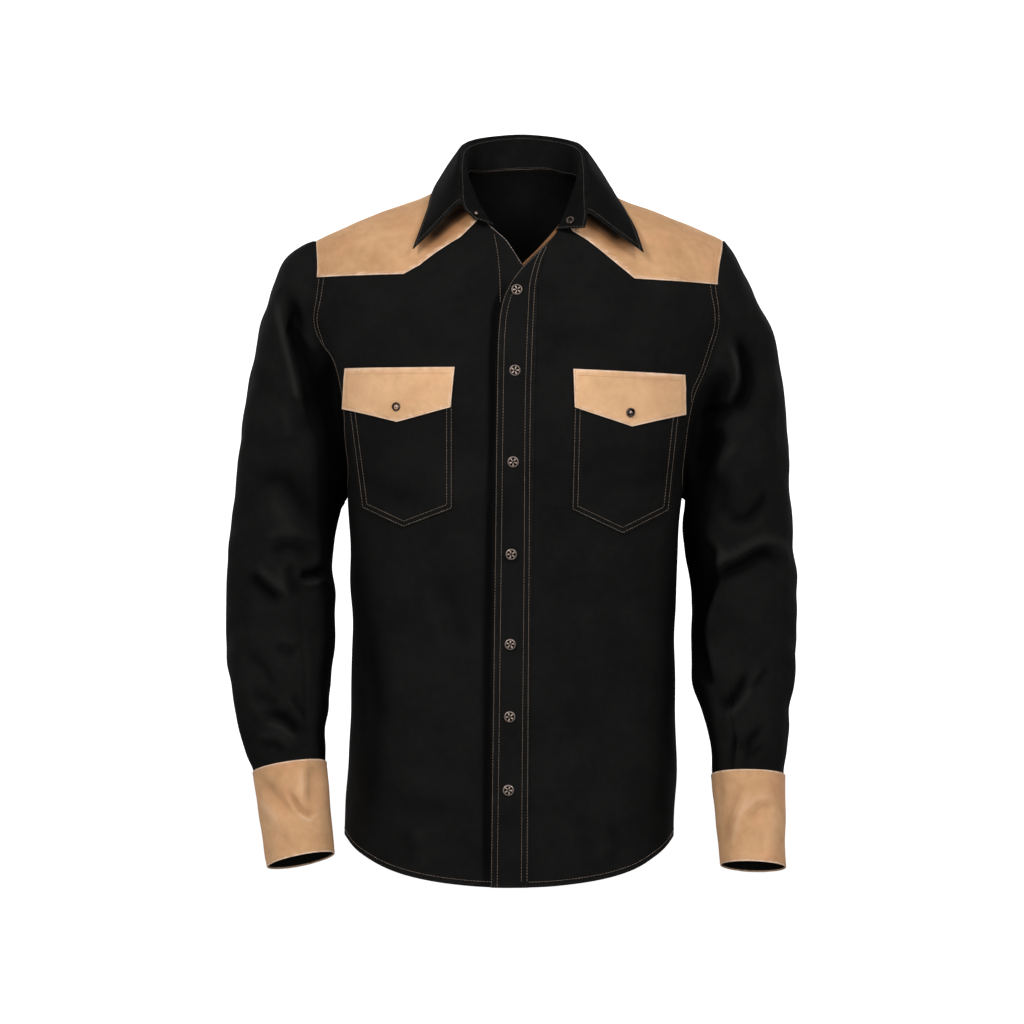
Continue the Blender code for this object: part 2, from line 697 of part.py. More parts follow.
def fold_depth(points, normals):
    """How far the sleeve's folds push each point in."""
    depth = np.zeros(points.shape[:-1])
    for x0, z0, x1, z1, half_width, deep in SLEEVE_FOLDS:
        along = np.array([x1 - x0, z1 - z0])
        rel = points[..., [0, 2]] - (x0, z0)
        share = np.clip(rel @ along / (along @ along), 0, 1)
        away = np.linalg.norm(rel - share[..., None] * along, axis=-1)
        depth += deep * np.exp(-((away / half_width) ** 2)) * np.clip(-normals[..., 1], 0, 1)
    return depth


def strip_sheet(points, wearers_right, closed=False):
    """A sheet from rings, facing out on either arm."""
    sheet = grid_sheet(points, grid_normals(points, closed, wearers_right), closed=closed)
    return flipped(sheet) if wearers_right else sheet


def add_sleeve(side, rings):
    wearers_right = side == "right"
    rings = trimmed(rings, GAP, edges="bottom")
    normals = grid_normals(rings, True, wearers_right)
    inner = rings[1:-2] - normals[1:-2] * fold_depth(rings[1:-2], normals[1:-2])[..., None]
    rings = np.concatenate([rings[:1], inner, rings[-2:]])
    solid(f"sleeve_{side}", strip_sheet(rings, wearers_right, closed=True), -WALL, 0, CLOTH_BLACK)
    return rings


def add_cuff(side, cuff, angles):
    """The cuff, its lining and its snaps. The cuff starts at its opening, on the back of the wrist, and laps
    over its own start there. Returns the first of the sleeve's columns under the lap."""
    wearers_right = side == "right"
    count = len(angles)
    start = int(np.argmin(np.abs(angles - angles[0] - CUFF_OPENING)))
    order = (start + np.arange(count + 1 + LAP_COLUMNS)) % count
    lift = np.zeros((1, len(order), 1))
    lift[0, count:] = LAYER
    flat = cuff_rings(cuff, angles[order], CUFF_ROWS, 0.0)
    raised = cuff_rings(cuff, angles[order], CUFF_ROWS, -LAYER)
    shell = strip_sheet(flat + (raised - flat) * lift / LAYER, wearers_right)
    solid(f"cuff_{side}", shell, -WALL, 0, CLOTH_TAN)
    inset = np.interp(LINING_ROWS, (0.6, 0.985), (LINING_DEPTH, LAYER))
    lining = cuff_rings(cuff, angles[order[: count + 1]], LINING_ROWS, inset)
    lining = trimmed(lining, edges="left right")
    solid(f"cuff_lining_{side}", strip_sheet(lining, wearers_right), -WALL, 0, CLOTH_BLACK)
    angle = (angles[order[count]] + angles[order[-1]]) / 2
    outside = cuff_rings(cuff, np.array([angle]), CUFF_SNAP_ROWS, -FAR)[:, 0]
    middles = cuff_rings(cuff, np.array([0.0, math.pi]), CUFF_SNAP_ROWS, 0.0).mean(axis=1)
    for number, (start_at, middle) in enumerate(zip(outside, middles), 1):
        point, normal = find_on(shell, start_at, middle - start_at)
        add_snap(f"snap_cuff_{side}_{number}", point + normal * GAP, normal, SNAP)
    return start


def add_sleeve_placket(side, rings, start):
    """The strip that covers the slit of the sleeve, above the opening of the cuff."""
    low, high = PLACKET_RINGS
    columns = (start + np.arange(LAP_COLUMNS + 1)) % rings.shape[1]
    strip = rings[low : high + 1][:, columns]
    strip[-1] = strip[-2] + PLACKET_END * (strip[-1] - strip[-2])
    solid(f"sleeve_placket_{side}", strip_sheet(strip, side == "right"), GAP, LAYER, CLOTH_BLACK)


def add_arm(side, front, back, column, table, cuff):
    rings, angles = sleeve_rings(armhole_loop(front[0], back[0], column), table, cuff)
    rings = add_sleeve(side, rings)
    start = add_cuff(side, cuff, angles)
    add_sleeve_placket(side, rings, start)


# ---------------------------------------------------------------- collar


def neck_seam(right, left, back):
    """(points, normals) along the neck seam, from the wearer's right end round the back to the left end."""
    end = (LOW_ROWS + CHEST_ROWS + FRONT_ROLL_ROWS).index(NECK_END)
    outer, middle, _ = BACK_COLUMNS
    return [
        np.vstack([r[end:, -1], b[-1, outer + 1 : outer + middle], w[end:, 0][::-1]])
        for r, w, b in zip(right, left, back)
    ]


def bezier(ends, t):
    """Points of a Bezier curve through arrays of control points."""
    order = len(ends) - 1
    return sum(math.comb(order, i) * (1 - t) ** (order - i) * t**i * p for i, p in enumerate(ends))


def add_collar(right, left, back):
    """The stand rises from the neck seam and the leaf folds over it; returns the stand's sheet."""
    seam, outward = neck_seam(right, left, back)
    steps = np.linalg.norm(np.diff(seam, axis=0), axis=1)
    arc = np.concatenate([[0.0], np.cumsum(steps)])
    columns = between(COLLAR, arc - arc[np.argmax(seam[:, 1])])
    top, edge = columns[:3].T, columns[3:].T
    rise = unit(np.cross(unit(np.gradient(seam, axis=0)), outward))
    stand = np.stack([bezier((seam + GAP * rise, seam + STAND_ROOT * rise, top), t) for t in STAND_ROWS])
    stand_normals = unit(np.cross(np.gradient(stand, axis=0), np.gradient(stand, axis=1)))
    stand_sheet = flipped(grid_sheet(stand, stand_normals))
    solid("collar_stand", stand_sheet, -WALL, 0, CLOTH_BLACK)
    out = stand_normals[-1]
    climb = unit(stand[-1] - stand[-2])
    above, outside = LEAF_CROWN
    root = top - WALL * out + GAP * climb
    leaf = [root, root + LEAF_RISE * climb, top + above * climb + outside * out, edge]
    first, last = LEAF_STATIONS
    leaf = np.stack([bezier(leaf, t) for t in LEAF_ROWS])[:, first:last]
    leaf_normals = unit(np.cross(np.gradient(leaf, axis=1), np.gradient(leaf, axis=0)))
    solid("collar_leaf", grid_sheet(leaf, leaf_normals), -WALL, 0, CLOTH_BLACK)
    return stand_sheet


# ---------------------------------------------------------------- pieces on the panels


def outline_above(edge):
    """A closed outline from an open edge, up to a height above everything."""
    return [(edge[0][0], ABOVE_ALL)] + list(edge) + [(edge[-1][0], ABOVE_ALL)]


def add_overlay(name, panel, outline, finish):
    sheet = cut_sheet(panel, outline)
    solid(name, sheet, GAP, LAYER, finish)
    return sheet


def add_pocket(side, panel, pocket, flap, snap_place):
    """A patch pocket and its flap, which lies on the panel at its top and on the pocket below its bend."""
    add_overlay(f"pocket_{side}", panel, list(pocket), CLOTH_BLACK)
    (left, left_z), (right, right_z) = flap[0], flap[-1]
    bend = ((left - 2, left_z - FLAP_BEND), (right + 2, right_z - FLAP_BEND))
    sheet = cut_sheet(panel, list(flap), extra=[bend])
    slope = (right_z - left_z) / (right - left)
    below = left_z + slope * (sheet.points[:, 0] - left) - sheet.points[:, 2]
    lift = GAP + LAYER * np.clip(below / FLAP_BEND, 0, 1)
    solid(f"flap_{side}", sheet, lift, lift + WALL, CLOTH_TAN)
    point, normal = find_from_front(sheet, snap_place)
    add_snap(f"snap_flap_{side}", point + normal * (2 * LAYER + GAP), normal, FLAP_SNAP)


def find_on(sheet, start, way):
    """The first point of a sheet that a line from start meets, and the sheet's normal there."""
    tree = BVHTree.FromPolygons(sheet.points.tolist(), sheet.faces)
    hit, _, face, _ = tree.ray_cast(Vector(start), Vector(way).normalized())
    normal = unit(sheet.normals[list(sheet.faces[face])].mean(axis=0))
    return np.array(hit), normal


def find_from_front(sheet, place):
    """The point of a sheet that shows at a place (x, height) seen from the front, and its normal."""
    return find_on(sheet, (place[0], -FAR, place[1]), (0.0, 1.0, 0.0))


def add_snap(name, base, axis, sizes):
    """A snap's cap, bevelled round its top, whose flat back is at base."""
    radius, height = sizes
    profile = ((radius, 0.0), (radius, 0.5 * height), (0.6 * radius, height))
    turns = [2 * math.pi * k / SNAP_SIDES for k in range(SNAP_SIDES)]
    bm = bmesh.new()
    rings = [[bm.verts.new((r * math.cos(a), r * math.sin(a), h)) for a in turns] for r, h in profile]
    for low, high in zip(rings, rings[1:]):
        for k in range(SNAP_SIDES):
            n = (k + 1) % SNAP_SIDES
            bm.faces.new((low[k], low[n], high[n], high[k]))
    bm.faces.new(rings[-1])
    bm.faces.new(rings[0][::-1])
    turn = Vector((0, 0, 1)).rotation_difference(Vector(axis)).to_matrix().to_4x4()
    place = Matrix.Translation(Vector(base) * MM) @ turn @ Matrix.Scale(MM, 4)
    bmesh.ops.transform(bm, matrix=place, verts=bm.verts[:])
    mesh = bpy.data.meshes.new(name)
    bm.to_mesh(mesh)
    bm.free()
    return add_object(name, mesh, SNAP_COPPER)


def add_facing():
    """The tan strip inside the wearer's left neck edge, of which a sliver shows."""
    rows = np.linspace(EDGES_CROSS, FACING_END, FACING_ROWS)
    shown = meet(rows, False, lambda z: between(FACING_EDGE, z), -1.0, 1.0)
    edge = meet(rows, False, lambda z: between(EDGE_LEFT, z), -1.0, 1.0)
    shown = np.minimum(shown, edge - FACING_LEAST)
    u = np.stack([shown, edge + 0.4 * FACING_TUCK, edge + FACING_TUCK], axis=1)
    row = np.broadcast_to(rows[:, None], u.shape)
    points, normals = body(u, row, False), body_normal(u, row, False)
    solid("placket_facing", grid_sheet(points, normals), -WALL - 2 * GAP - WALL, -WALL - 2 * GAP, CLOTH_TAN)


def add_placket(front_left):
    """The band down the wearer's left front, with the snaps that close it."""
    low, high = (PLACKET_OUTSIDE, HEM_BOTTOM), (PLACKET_OUTSIDE, PLACKET_SIDE[-1][1])
    placket = add_overlay("placket", front_left, [low, *PLACKET_SIDE, high], CLOTH_BLACK)
    for number, place in enumerate(PLACKET_SNAPS, 1):
        point, normal = find_from_front(placket, place)
        add_snap(f"snap_front_{number}", point + normal * (LAYER + GAP), normal, SNAP)


def add_neck_snap(stand):
    """The two halves of the open top snap, on the inner face of the stand, which is turned out there."""
    for name, place, sizes in (
        ("neck_socket", NECK_SOCKET_PLACE, NECK_SOCKET),
        ("neck_stud", NECK_STUD_PLACE, NECK_STUD),
    ):
        point, normal = find_from_front(stand, place)
        add_snap(name, point - normal * (WALL + GAP), -normal, sizes)


def main():
    for obj in list(bpy.data.objects):
        bpy.data.objects.remove(obj, do_unlink=True)
    right, left, back = front_grid(True), front_grid(False), back_grid()
    left = (left[0] + left[1] * overlap_lift(left[0])[..., None], left[1])
    front_right, front_left, back_panel = add_panels(right, left, back)
    add_arm("right", right, back, 0, SLEEVE_RIGHT, CUFF_RIGHT)
    add_arm("left", left, back, -1, SLEEVE_LEFT, CUFF_LEFT)
    stand = add_collar(right, left, back)
    add_neck_snap(stand)
    add_overlay("front_yoke_right", front_right, outline_above(YOKE_RIGHT_EDGE), CLOTH_TAN)
    add_overlay("front_yoke_left", front_left, outline_above(YOKE_LEFT_EDGE), CLOTH_TAN)
    add_overlay("back_yoke", back_panel, outline_above(BACK_YOKE_EDGE), CLOTH_TAN)
    add_pocket("right", front_right, POCKET_RIGHT, FLAP_RIGHT, FLAP_SNAP_RIGHT)
    add_pocket("left", front_left, POCKET_LEFT, FLAP_LEFT, FLAP_SNAP_LEFT)
    add_placket(front_left)
    add_facing()


main()
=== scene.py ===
"""Looks of the western-style work shirt: its cloth with folds, weave and stitching, and its snaps.

Each sewn piece is a fine thin shell on the form of its CAD solid, so the tables of that form are repeated
here, in millimetres. +Z is up, the front faces -Y, and +X is the wearer's left. Snaps and cuff laps take
their places from the frame.
"""

import math

import bmesh
import bpy
import numpy as np
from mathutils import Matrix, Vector
from mathutils.bvhtree import BVHTree
from mathutils.kdtree import KDTree


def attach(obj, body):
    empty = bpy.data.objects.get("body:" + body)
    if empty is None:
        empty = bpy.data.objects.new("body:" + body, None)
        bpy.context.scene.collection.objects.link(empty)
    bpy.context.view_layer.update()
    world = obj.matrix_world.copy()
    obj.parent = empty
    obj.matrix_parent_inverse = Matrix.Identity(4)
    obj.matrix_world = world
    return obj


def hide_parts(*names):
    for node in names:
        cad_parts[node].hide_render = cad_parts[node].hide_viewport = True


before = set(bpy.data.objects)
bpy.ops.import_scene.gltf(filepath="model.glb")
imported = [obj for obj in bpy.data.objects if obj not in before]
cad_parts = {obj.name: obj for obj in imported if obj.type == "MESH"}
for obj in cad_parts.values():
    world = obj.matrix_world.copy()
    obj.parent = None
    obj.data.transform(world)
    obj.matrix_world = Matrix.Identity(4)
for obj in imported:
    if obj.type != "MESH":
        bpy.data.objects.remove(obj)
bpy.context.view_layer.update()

MM = 0.001

# Cloth and seams
WALL = 1.2
GAP = 0.3
LAYER = WALL + GAP
SEAM_ALLOWANCE = 5.0  # how far the sleeve reaches under the panels
ROUNDING = 0.35  # how far the outer and inner face end before a piece's edge

# Body form: a ring at each height. squareness is the exponent of the ring's superellipse.
CHEST = -150.0
SHOULDER_RISE = 100.0
RIDGE_BACK = 12.0
RIDGE_ROUND = 10.0  # rounds the top of the shoulders over the middle of the neck
TORSO = (
    # height, half_width, centre_x, front_depth, back_depth, squareness
    (-760, 179, -12, 108, 104, 2.5),
    (-700, 179, -11.5, 110, 106, 2.5),
    (-600, 177.5, -7.5, 109, 103, 2.45),
    (-500, 174.5, -6.5, 108, 98, 2.4),
    (-420, 176.5, -6, 111, 98, 2.35),
    (-340, 181, -5, 116, 106, 2.3),
    (-280, 190, -4, 118, 112, 2.3),
    (-225, 206, -3, 116, 114, 2.3),
    (-150, 228, -2, 108, 110, 2.3),
    (-100, 236, 0, 102, 106, 2.3),
    (-50, 238, 0, 98, 104, 2.3),
)
RIDGE = (
    # distance from the middle, height of the shoulder there
    (0, 58), (30, 41.5), (50, 25), (75, 8.5), (94, -3), (158, -28.5), (200, -45.5), (222, -57),
    (245, -74),
)
HEM = (
    # place across the panel, -1 at the wearer's right side seam, and height of the hem
    (-1, -697), (-0.85, -703), (-0.7, -716.5), (-0.55, -729.5), (-0.4, -739), (-0.2, -747), (0, -750),
    (0.2, -748), (0.4, -741), (0.55, -732), (0.7, -719), (0.85, -706), (1, -698),
)

# Rows of the panels, counted 0 at the hem, 1 at CHEST and 2 on top of the shoulder
ARMPIT_ROW = 0.6624
EDGES_CROSS = 1.197
NECK_END = 1.37
FACING_END = 1.465
SHOULDER_SEAM = 1.92
FRONT_ROWS = (
    # a row, and how many steps lead to the next one
    (0, 90), (ARMPIT_ROW, 46), (1, 10), (EDGES_CROSS, 8), (NECK_END, 5), (FACING_END, 20),
    (SHOULDER_SEAM, 0),
)
BACK_ROWS = ((0.0, 90), (ARMPIT_ROW, 46), (1.0, 52), (4.0 - SHOULDER_SEAM, 0))
ARMPIT = FRONT_ROWS[0][1]  # number of steps up to the armpit, in the fronts and the back
FRONT_COLUMNS = 62
BACK_COLUMNS = (36, 32, 36)  # wearer's right, under the neck, wearer's left
SPREAD_START = 0.9  # from here the back's columns spread towards the ends of the neck
SPREAD_ROWS = 0.6
HALVINGS = 40  # steps of a search for the place where a row crosses an edge
OVERLAP_END = 50.0
OVERLAP_RAMP = 22.0

# Edges of the panels as seen from the front: height, x
EDGE_RIGHT = (
    (-760, 6), (-209, 12), (-123, 13), (-102, 11), (-86, 3), (-71, -6), (-58, -15), (-49, -25),
    (-41, -33), (-32, -38), (-20, -45), (-6, -51), (7, -57), (22, -60),
)
EDGE_LEFT = (
    (-760, -31), (-444, -27), (-209, -24), (-152, -22), (-126, -18), (-109, -11), (-99, -5), (-88, 4),
    (-70, 22), (-57, 35), (-42, 45), (-28, 51), (-9, 58), (6, 64), (22, 67),
)
ARMHOLE_RIGHT = (
    (-345, -192), (-321, -187), (-270, -188), (-226, -192), (-205, -196), (-184, -203), (-167, -215),
    (-154, -221), (-141, -223), (-120, -220), (-96, -218), (-60, -220.5), (-40, -221.5),
)
ARMHOLE_LEFT = (
    (-345, 182), (-321, 176.5), (-299, 177), (-260, 182), (-222, 190), (-198, 201), (-167, 211),
    (-152, 215), (-138, 216), (-107, 213), (-90, 215), (-62, 220), (-40, 222),
)
ARMHOLE_BACK = (
    # row, and u of the back panel's armhole edge there
    (ARMPIT_ROW, 1), (0.7, 0.87), (0.74, 0.8), (0.79, 0.775), (0.92, 0.77), (1.14, 0.775), (1.42, 0.77),
    (2, 0.758),
)
NECK_BACK = (
    # place between the two ends of the shoulder seams, and the row of the neck seam there
    (-1, 4 - SHOULDER_SEAM), (-0.9, 1.93), (-0.8, 1.842), (-0.65, 1.77), (-0.5, 1.727), (-0.3, 1.694),
    (-0.1, 1.674), (0.05, 1.677), (0.2, 1.699), (0.4, 1.741), (0.6, 1.8), (0.75, 1.86), (0.9, 1.955),
    (1, 4 - SHOULDER_SEAM),
)

# Sleeves and cuffs
SLEEVE_DEPTHS = (
    # half_depth, centre_y, tilt (degrees) and seam share of the rings of either sleeve, from the armhole down
    (58, 3, 0, 0.8), (60, 3, 0, 0.6), (62, 4, 0, 0.4), (63, 4, 0, 0.24), (64, 4, 0, 0.12),
    (63, 4, 0, 0.04), (61, 5, 0, 0), (59, 6, 0, 0), (57, 6, 2, 0), (55, 2, 6, 0), (53, -5, 9, 0),
    (50, -13, 11, 0), (46, -20, 12, 0),
)
SLEEVE_RIGHT = (
    # outer_x, outer_z, inner_x, inner_z of the same rings
    (-236, -61, -188, -337), (-255, -76, -189, -339), (-270, -109, -190, -342),
    (-283, -152, -193, -347), (-294, -207, -194.5, -354), (-303, -265, -197, -365),
    (-310, -326, -200.5, -381), (-316, -392, -203, -410), (-319, -446, -201, -448),
    (-318.5, -500, -202, -495), (-315, -540, -204, -531), (-305.5, -580, -207, -566),
    (-295.5, -611, -210, -597),
)
SLEEVE_LEFT = (
    (233, -70, 179, -337), (247, -96, 179.5, -339), (262, -127, 179, -343), (276, -158, 178, -349),
    (285, -205, 177, -358), (291.5, -257, 177.5, -370), (294, -315, 180, -388),
    (298, -380, 184.5, -414), (303, -440, 187.5, -450), (301.5, -500, 187, -497),
    (297.5, -545, 189, -536), (292, -583, 199, -572), (290, -613, 206.5, -605),
)
CUFF_DEPTHS = ((39, -25, 12.5), (37, -49, 13.5))  # half_depth, centre_y, tilt of its top and bottom rings
CUFF_RIGHT = ((-289, -632, -208.5, -620), (-272, -733, -199, -718))
CUFF_LEFT = ((287.5, -635, 207, -634), (287, -733.5, 216, -730.5))
ARMHOLE_RING = (52.0, 2.0, 0.0)  # half_depth, centre_y and tilt of a ring through the armhole
SLEEVE_TUCK = (0.0, 0.10)  # the sleeve's last rings, as shares of the cuff's height
SLEEVE_HEAD = 2.6  # how far the top of the sleeve stands above the armhole seam
SLEEVE_HEAD_FADE = 14.0
SLEEVE_EASE = (1.4, 0.5)  # rise and overhang of the sleeve's first ring, as shares of its head
SLEEVE_ENDS = 0.06  # share of the sleeve over which its folds fade in at each end
INNER_SHADE = (
    # height, and how many degrees round from the arm's inner side the cloth gets painted shade, where it
    # faces the body and lies in its shadow
    (-620, 44), (-400, 50), (-300, 58), (-150, 50), (-100, 30), (-60, 0),
)
INNER_SHADE_FADE = 32.0
INNER_SHADE_DEPTH = 13.0
SLEEVE_STEPS = (4, 5, 7, 11, 14, 15, 16, 17, 14, 14, 10, 10, 8, 6, 4)  # rings between the table's rings
SLEEVE_COLUMNS = 136
CUFF_COLUMNS = 136
CUFF_RINGS = 48
CUFF_ENDS = (0.2, 0.1)  # shares of the cuff's height over which its swells fade in at top and bottom
LINING_COLUMNS = CUFF_COLUMNS - 6
LINING_ROWS = (0.13, 0.985)  # where the lining starts and ends, as shares of the cuff's height
LINING_INSET_ROWS = (0.6, 0.985)  # between these it comes up from LINING_DEPTH to the cuff's own wall
LINING_DEPTH = 2 * LAYER
LINING_ROOM = 0.2
LAP_WIDTH = 26.0  # how far the cuff laps over its own start
LAP_RAMP = 9.0  # length over which it rises onto its start
SLIT_RINGS = (10, 13)  # rings of the sleeve's table between which its placket lies
SLIT_EXTRA = 5  # and how many of the finer rings it goes on past them

COLLAR = (
    # place: distance along the neck seam from the middle of the back, wearer's right negative;
    # top: where the stand ends and the leaf folds; edge: the outer edge of the leaf
    # place, top_x, top_y, top_z, edge_x, edge_y, edge_z
    (-209, -48, -88, -38, -111, -90, -70),
    (-185.5, -62, -79, -22, -114.5, -86, -68.5),
    (-160.6, -64, -66, 1.5, -107, -65, -46),
    (-137.3, -64.5, -49, 20.5, -100, -46, -24),
    (-117.9, -63.5, -28, 33.5, -95.5, -20, -6),
    (-99.9, -62.5, -4, 42, -92, 6, 6),
    (-48.4, -46, 52, 57, -74, 72, 10),
    (0, 3, 78, 64, 3, 96, 14),
    (48.5, 53, 52, 56, 78, 72, 7),
    (99.8, 68.5, -4, 42.5, 102, 6, -1),
    (117.6, 70, -27, 33.5, 108, -20, -12),
    (136.8, 71.5, -48, 19, 117, -45, -28),
    (159.9, 72, -66, -6, 126, -64, -48),
    (184.6, 72.5, -81, -33, 133, -86, -73),
    (205, 70, -88, -47, 131, -90, -76),
)
STAND_ROOT = 5.0
STAND_ROWS = 15
LEAF_RISE = 7.0
LEAF_CROWN = (3.5, 4.0)
LEAF_ROWS = 30
LEAF_CROWDING = 1.25  # above 1 the leaf's rows lie closer together at its fold
LEAF_FREE = 0.5  # share of the leaf over which its swells fade in below the fold
LEAF_ENDS = (-186, 185.1)  # places between which the stand carries the leaf

# Pieces on the fronts, as outlines seen from the front: x, height
YOKE_RIGHT_EDGE = (
    (-260, -98), (-216, -97), (-124, -96), (-107, -86.5), (-91, -74), (-76, -64), (-63, -56), (-50, -43),
    (-20, -10),
)
YOKE_LEFT_EDGE = ((20, 0), (57, -50), (72, -59), (86, -70), (123, -101), (213, -105), (260, -107))
BACK_YOKE_EDGE = ((-260, -118), (-120, -122), (0, -158), (120, -122), (260, -118))
PLACKET_SIDE = ((9.5, -760), (11, -550), (16.5, -210), (19.5, -102), (24, -84), (32, -58))
FACING_EDGE = (
    # height, x of the facing that shows inside the wearer's left neck edge
    (-86, 1.5), (-72.5, 15.4), (-60, 27), (-46, 38.9), (-33, 48.6), (-28, 52),
)
FACING_ROWS, FACING_COLUMNS = 40, 6
FACING_TUCK = 0.05  # u by which the facing goes on behind the front's edge
FACING_LEAST = 0.004  # u by which it shows at least
POCKET_RIGHT = ((-184, -226), (-183, -244), (-170, -346), (-124, -367), (-71, -347), (-71, -226))
POCKET_LEFT = ((58, -226), (55, -348), (110, -374), (161, -349), (171, -251), (172, -226))
FLAP_RIGHT = ((-187.0, -196.0), (-188.0, -239.0), (-130.0, -254.0), (-73.0, -239.0), (-69.0, -196.0))
FLAP_LEFT = ((57.0, -198.0), (58.0, -239.0), (119.0, -259.0), (176.0, -245.0), (177.0, -203.0))
FLAP_BEND = 14.0  # length over which a flap comes to lie on its pocket
FLAP_CURL = 1.3  # how far a flap's free edge lifts off the pocket
FLAP_CURL_LENGTH = 30.0
CURL_MIDDLE, CURL_SIDES = 0.35, 2.6  # shares of the curl in the middle, and towards the sides
CUT_MARGIN = 0.1  # how far past a cutting edge faces are still cut
CUT_SNAP = 0.02  # points this near to a cut move onto it
ABOVE_ALL = 100.0
FAR = 1000.0
OFF_THE_CLOTH = (FAR, FAR)
HEM_BOTTOM = -760.0
PLACKET_OUTSIDE = -60.0

# Soft unevenness of the cloth: height and length of its swells, and the seed of their places
WAVES = 16
BODY_SWELLS = ((0.9, 95, 3), (0.3, 38, 4))
SLEEVE_SWELLS = ((1.0, 62, 5), (0.45, 27, 6))
CUFF_SWELLS = ((0.5, 46, 8),)
LINING_SWELLS = ((0.4, 46, 8),)
LEAF_SWELLS = ((0.5, 55, 9),)

# Creases: a path of (x, height) points, the half widths to its left and right, and the depth, by which the
# cloth is pushed in and also coloured darker as painted shade, and paler as a painted highlight on the bulge
# beside it
BODY_CREASES_FRONT = (
    (((-184, -360), (-170, -440), (-156, -520), (-144, -600)), 16, 7, 1.7),
    (((172, -400), (168, -550), (164, -712)), 7, 12, 2.6),
    (((-186, -300), (-140, -330), (-96, -334)), 12, 9, 1.6),
    (((176, -300), (130, -322), (92, -318)), 9, 12, 1.6),
    (((-150, -640), (-110, -664), (-60, -668)), 14, 11, 1.8),
    (((-92, -408), (-70, -452), (-52, -515)), 12, 10, 1.8),
    (((48, -470), (66, -540), (60, -620)), 12, 16, 1.2),
    (((112, -430), (96, -500), (110, -590)), 17, 13, 1.3),
    (((30, -150), (60, -168), (110, -162)), 9, 12, 1.2),
    (((-52, -160), (-80, -176), (-126, -166)), 12, 9, 1.2),
    (((-128, -690), (-118, -712), (-121, -735)), 7, 9, 2),
    (((96, -680), (104, -706), (98, -738)), 9, 7, 2),
)
BODY_CREASES_BACK = (
    (((-178, -300), (-120, -350), (-62, -372)), 12, 18, 4),
    (((170, -300), (116, -344), (54, -380)), 18, 12, 4),
    (((-118, -420), (-92, -500), (-98, -610), (-84, -700)), 10, 20, 5),
    (((124, -432), (96, -520), (104, -640), (92, -712)), 20, 10, 5),
    (((-22, -300), (-30, -430), (-16, -560)), 14, 18, 3.2),
    (((34, -420), (26, -540), (38, -690)), 12, 16, 3.4),
    (((-160, -450), (-118, -478), (-60, -470)), 8, 13, 3),
    (((156, -470), (104, -492), (52, -480)), 13, 8, 3),
    (((-150, -150), (-138, -230), (-150, -300)), 13, 9, 2.6),
    (((146, -150), (136, -236), (148, -310)), 9, 13, 2.6),
)
SLEEVE_RIGHT_FRONT = (
    (((-253, -103), (-245, -154), (-233, -203), (-217, -273)), 17, 5, 8),
    (((-253, -116), (-236, -142), (-216, -163), (-199, -186), (-196, -215)), 5, 4, 4.2),
    (((-242, -224), (-234, -246), (-228, -273)), 11, 8, 2),
    (((-295, -327), (-263, -314), (-236, -337), (-213, -380)), 15, 12, 3.2),
    (((-274, -396), (-247, -389), (-217, -402)), 8, 9, 2.5),
    (((-247, -404), (-245, -423), (-236, -445)), 6, 5, 2.5),
    (((-238, -419), (-222, -418), (-206, -412)), 5, 4, 5),
    (((-296, -415), (-277, -432), (-253, -451)), 6, 8, 4),
    (((-266, -493), (-250, -500), (-236, -502)), 5, 6, 2),
    (((-299, -499), (-277, -518), (-259, -546)), 5, 5, 1.8),
    (((-292, -542), (-274, -552), (-256, -557)), 7, 6, 2.2),
    (((-281, -566), (-252, -572), (-225, -595)), 6, 5, 4.5),
    (((-246, -544), (-236, -558), (-223, -576)), 4, 3.5, 2.2),
    (((-285, -604), (-266, -601), (-252, -615)), 5, 6, 2.2),
    (((-236, -434), (-234, -488), (-230, -531), (-230, -565), (-222, -616)), 1.8, 1.8, 0.8),
)
SLEEVE_RIGHT_BACK = (
    (((-252, -120), (-240, -178), (-222, -250)), 16, 6, 5),
    (((-300, -330), (-268, -352), (-222, -346)), 12, 7, 4.5),
    (((-304, -398), (-262, -408), (-212, -392)), 7, 12, 5.5),
    (((-300, -442), (-270, -432), (-232, -446)), 6, 9, 3.5),
    (((-296, -500), (-262, -520), (-222, -506)), 10, 6, 3.5),
    (((-288, -556), (-262, -566), (-224, -560)), 6, 8, 3.5),
    (((-270, -590), (-262, -612), (-260, -640)), 3.5, 4.5, 2.5),
    (((-240, -590), (-238, -610), (-236, -632)), 3.5, 4.5, 2.2),
)
SLEEVE_LEFT_FRONT = (
    (((228, -156), (241, -180), (244, -205), (236, -230), (218, -243)), 12, 4.5, 7),
    (((232, -249), (216, -240), (194, -248), (182, -262)), 8, 4.5, 4.5),
    (((221, -260), (205, -284), (189, -310)), 8, 13, 5),
    (((218, -305), (221, -337), (220, -359)), 9, 8, 2.2),
    (((267, -324), (261, -343), (239, -359), (216, -357)), 7, 7, 3),
    (((203, -462), (213, -423), (239, -409), (267, -396), (294, -421)), 7, 8, 5),
    (((190, -372), (206, -400), (200, -440), (192, -482), (198, -515), (200, -542)), 5, 10, 6),
    (((210, -565), (230, -549), (250, -515)), 6, 5, 4),
    (((246, -542), (258, -532), (271, -518)), 4, 5, 1.8),
    (((232, -608), (246, -598), (264, -579)), 5, 5, 3),
    (((242, -615), (253, -609), (264, -601)), 4, 4, 2),
    (((194, -515), (201, -526), (207, -539)), 5, 4, 2.5),
    (((222, -515), (226, -542), (227, -574), (230, -601), (225, -622)), 1.8, 1.8, 0.8),
    (((231, -584), (229, -602), (227, -620), (225, -650)), 2.6, 4.5, 2.6),
    (((250, -596), (244, -614), (243, -648)), 4.5, 3, 1.8),
)
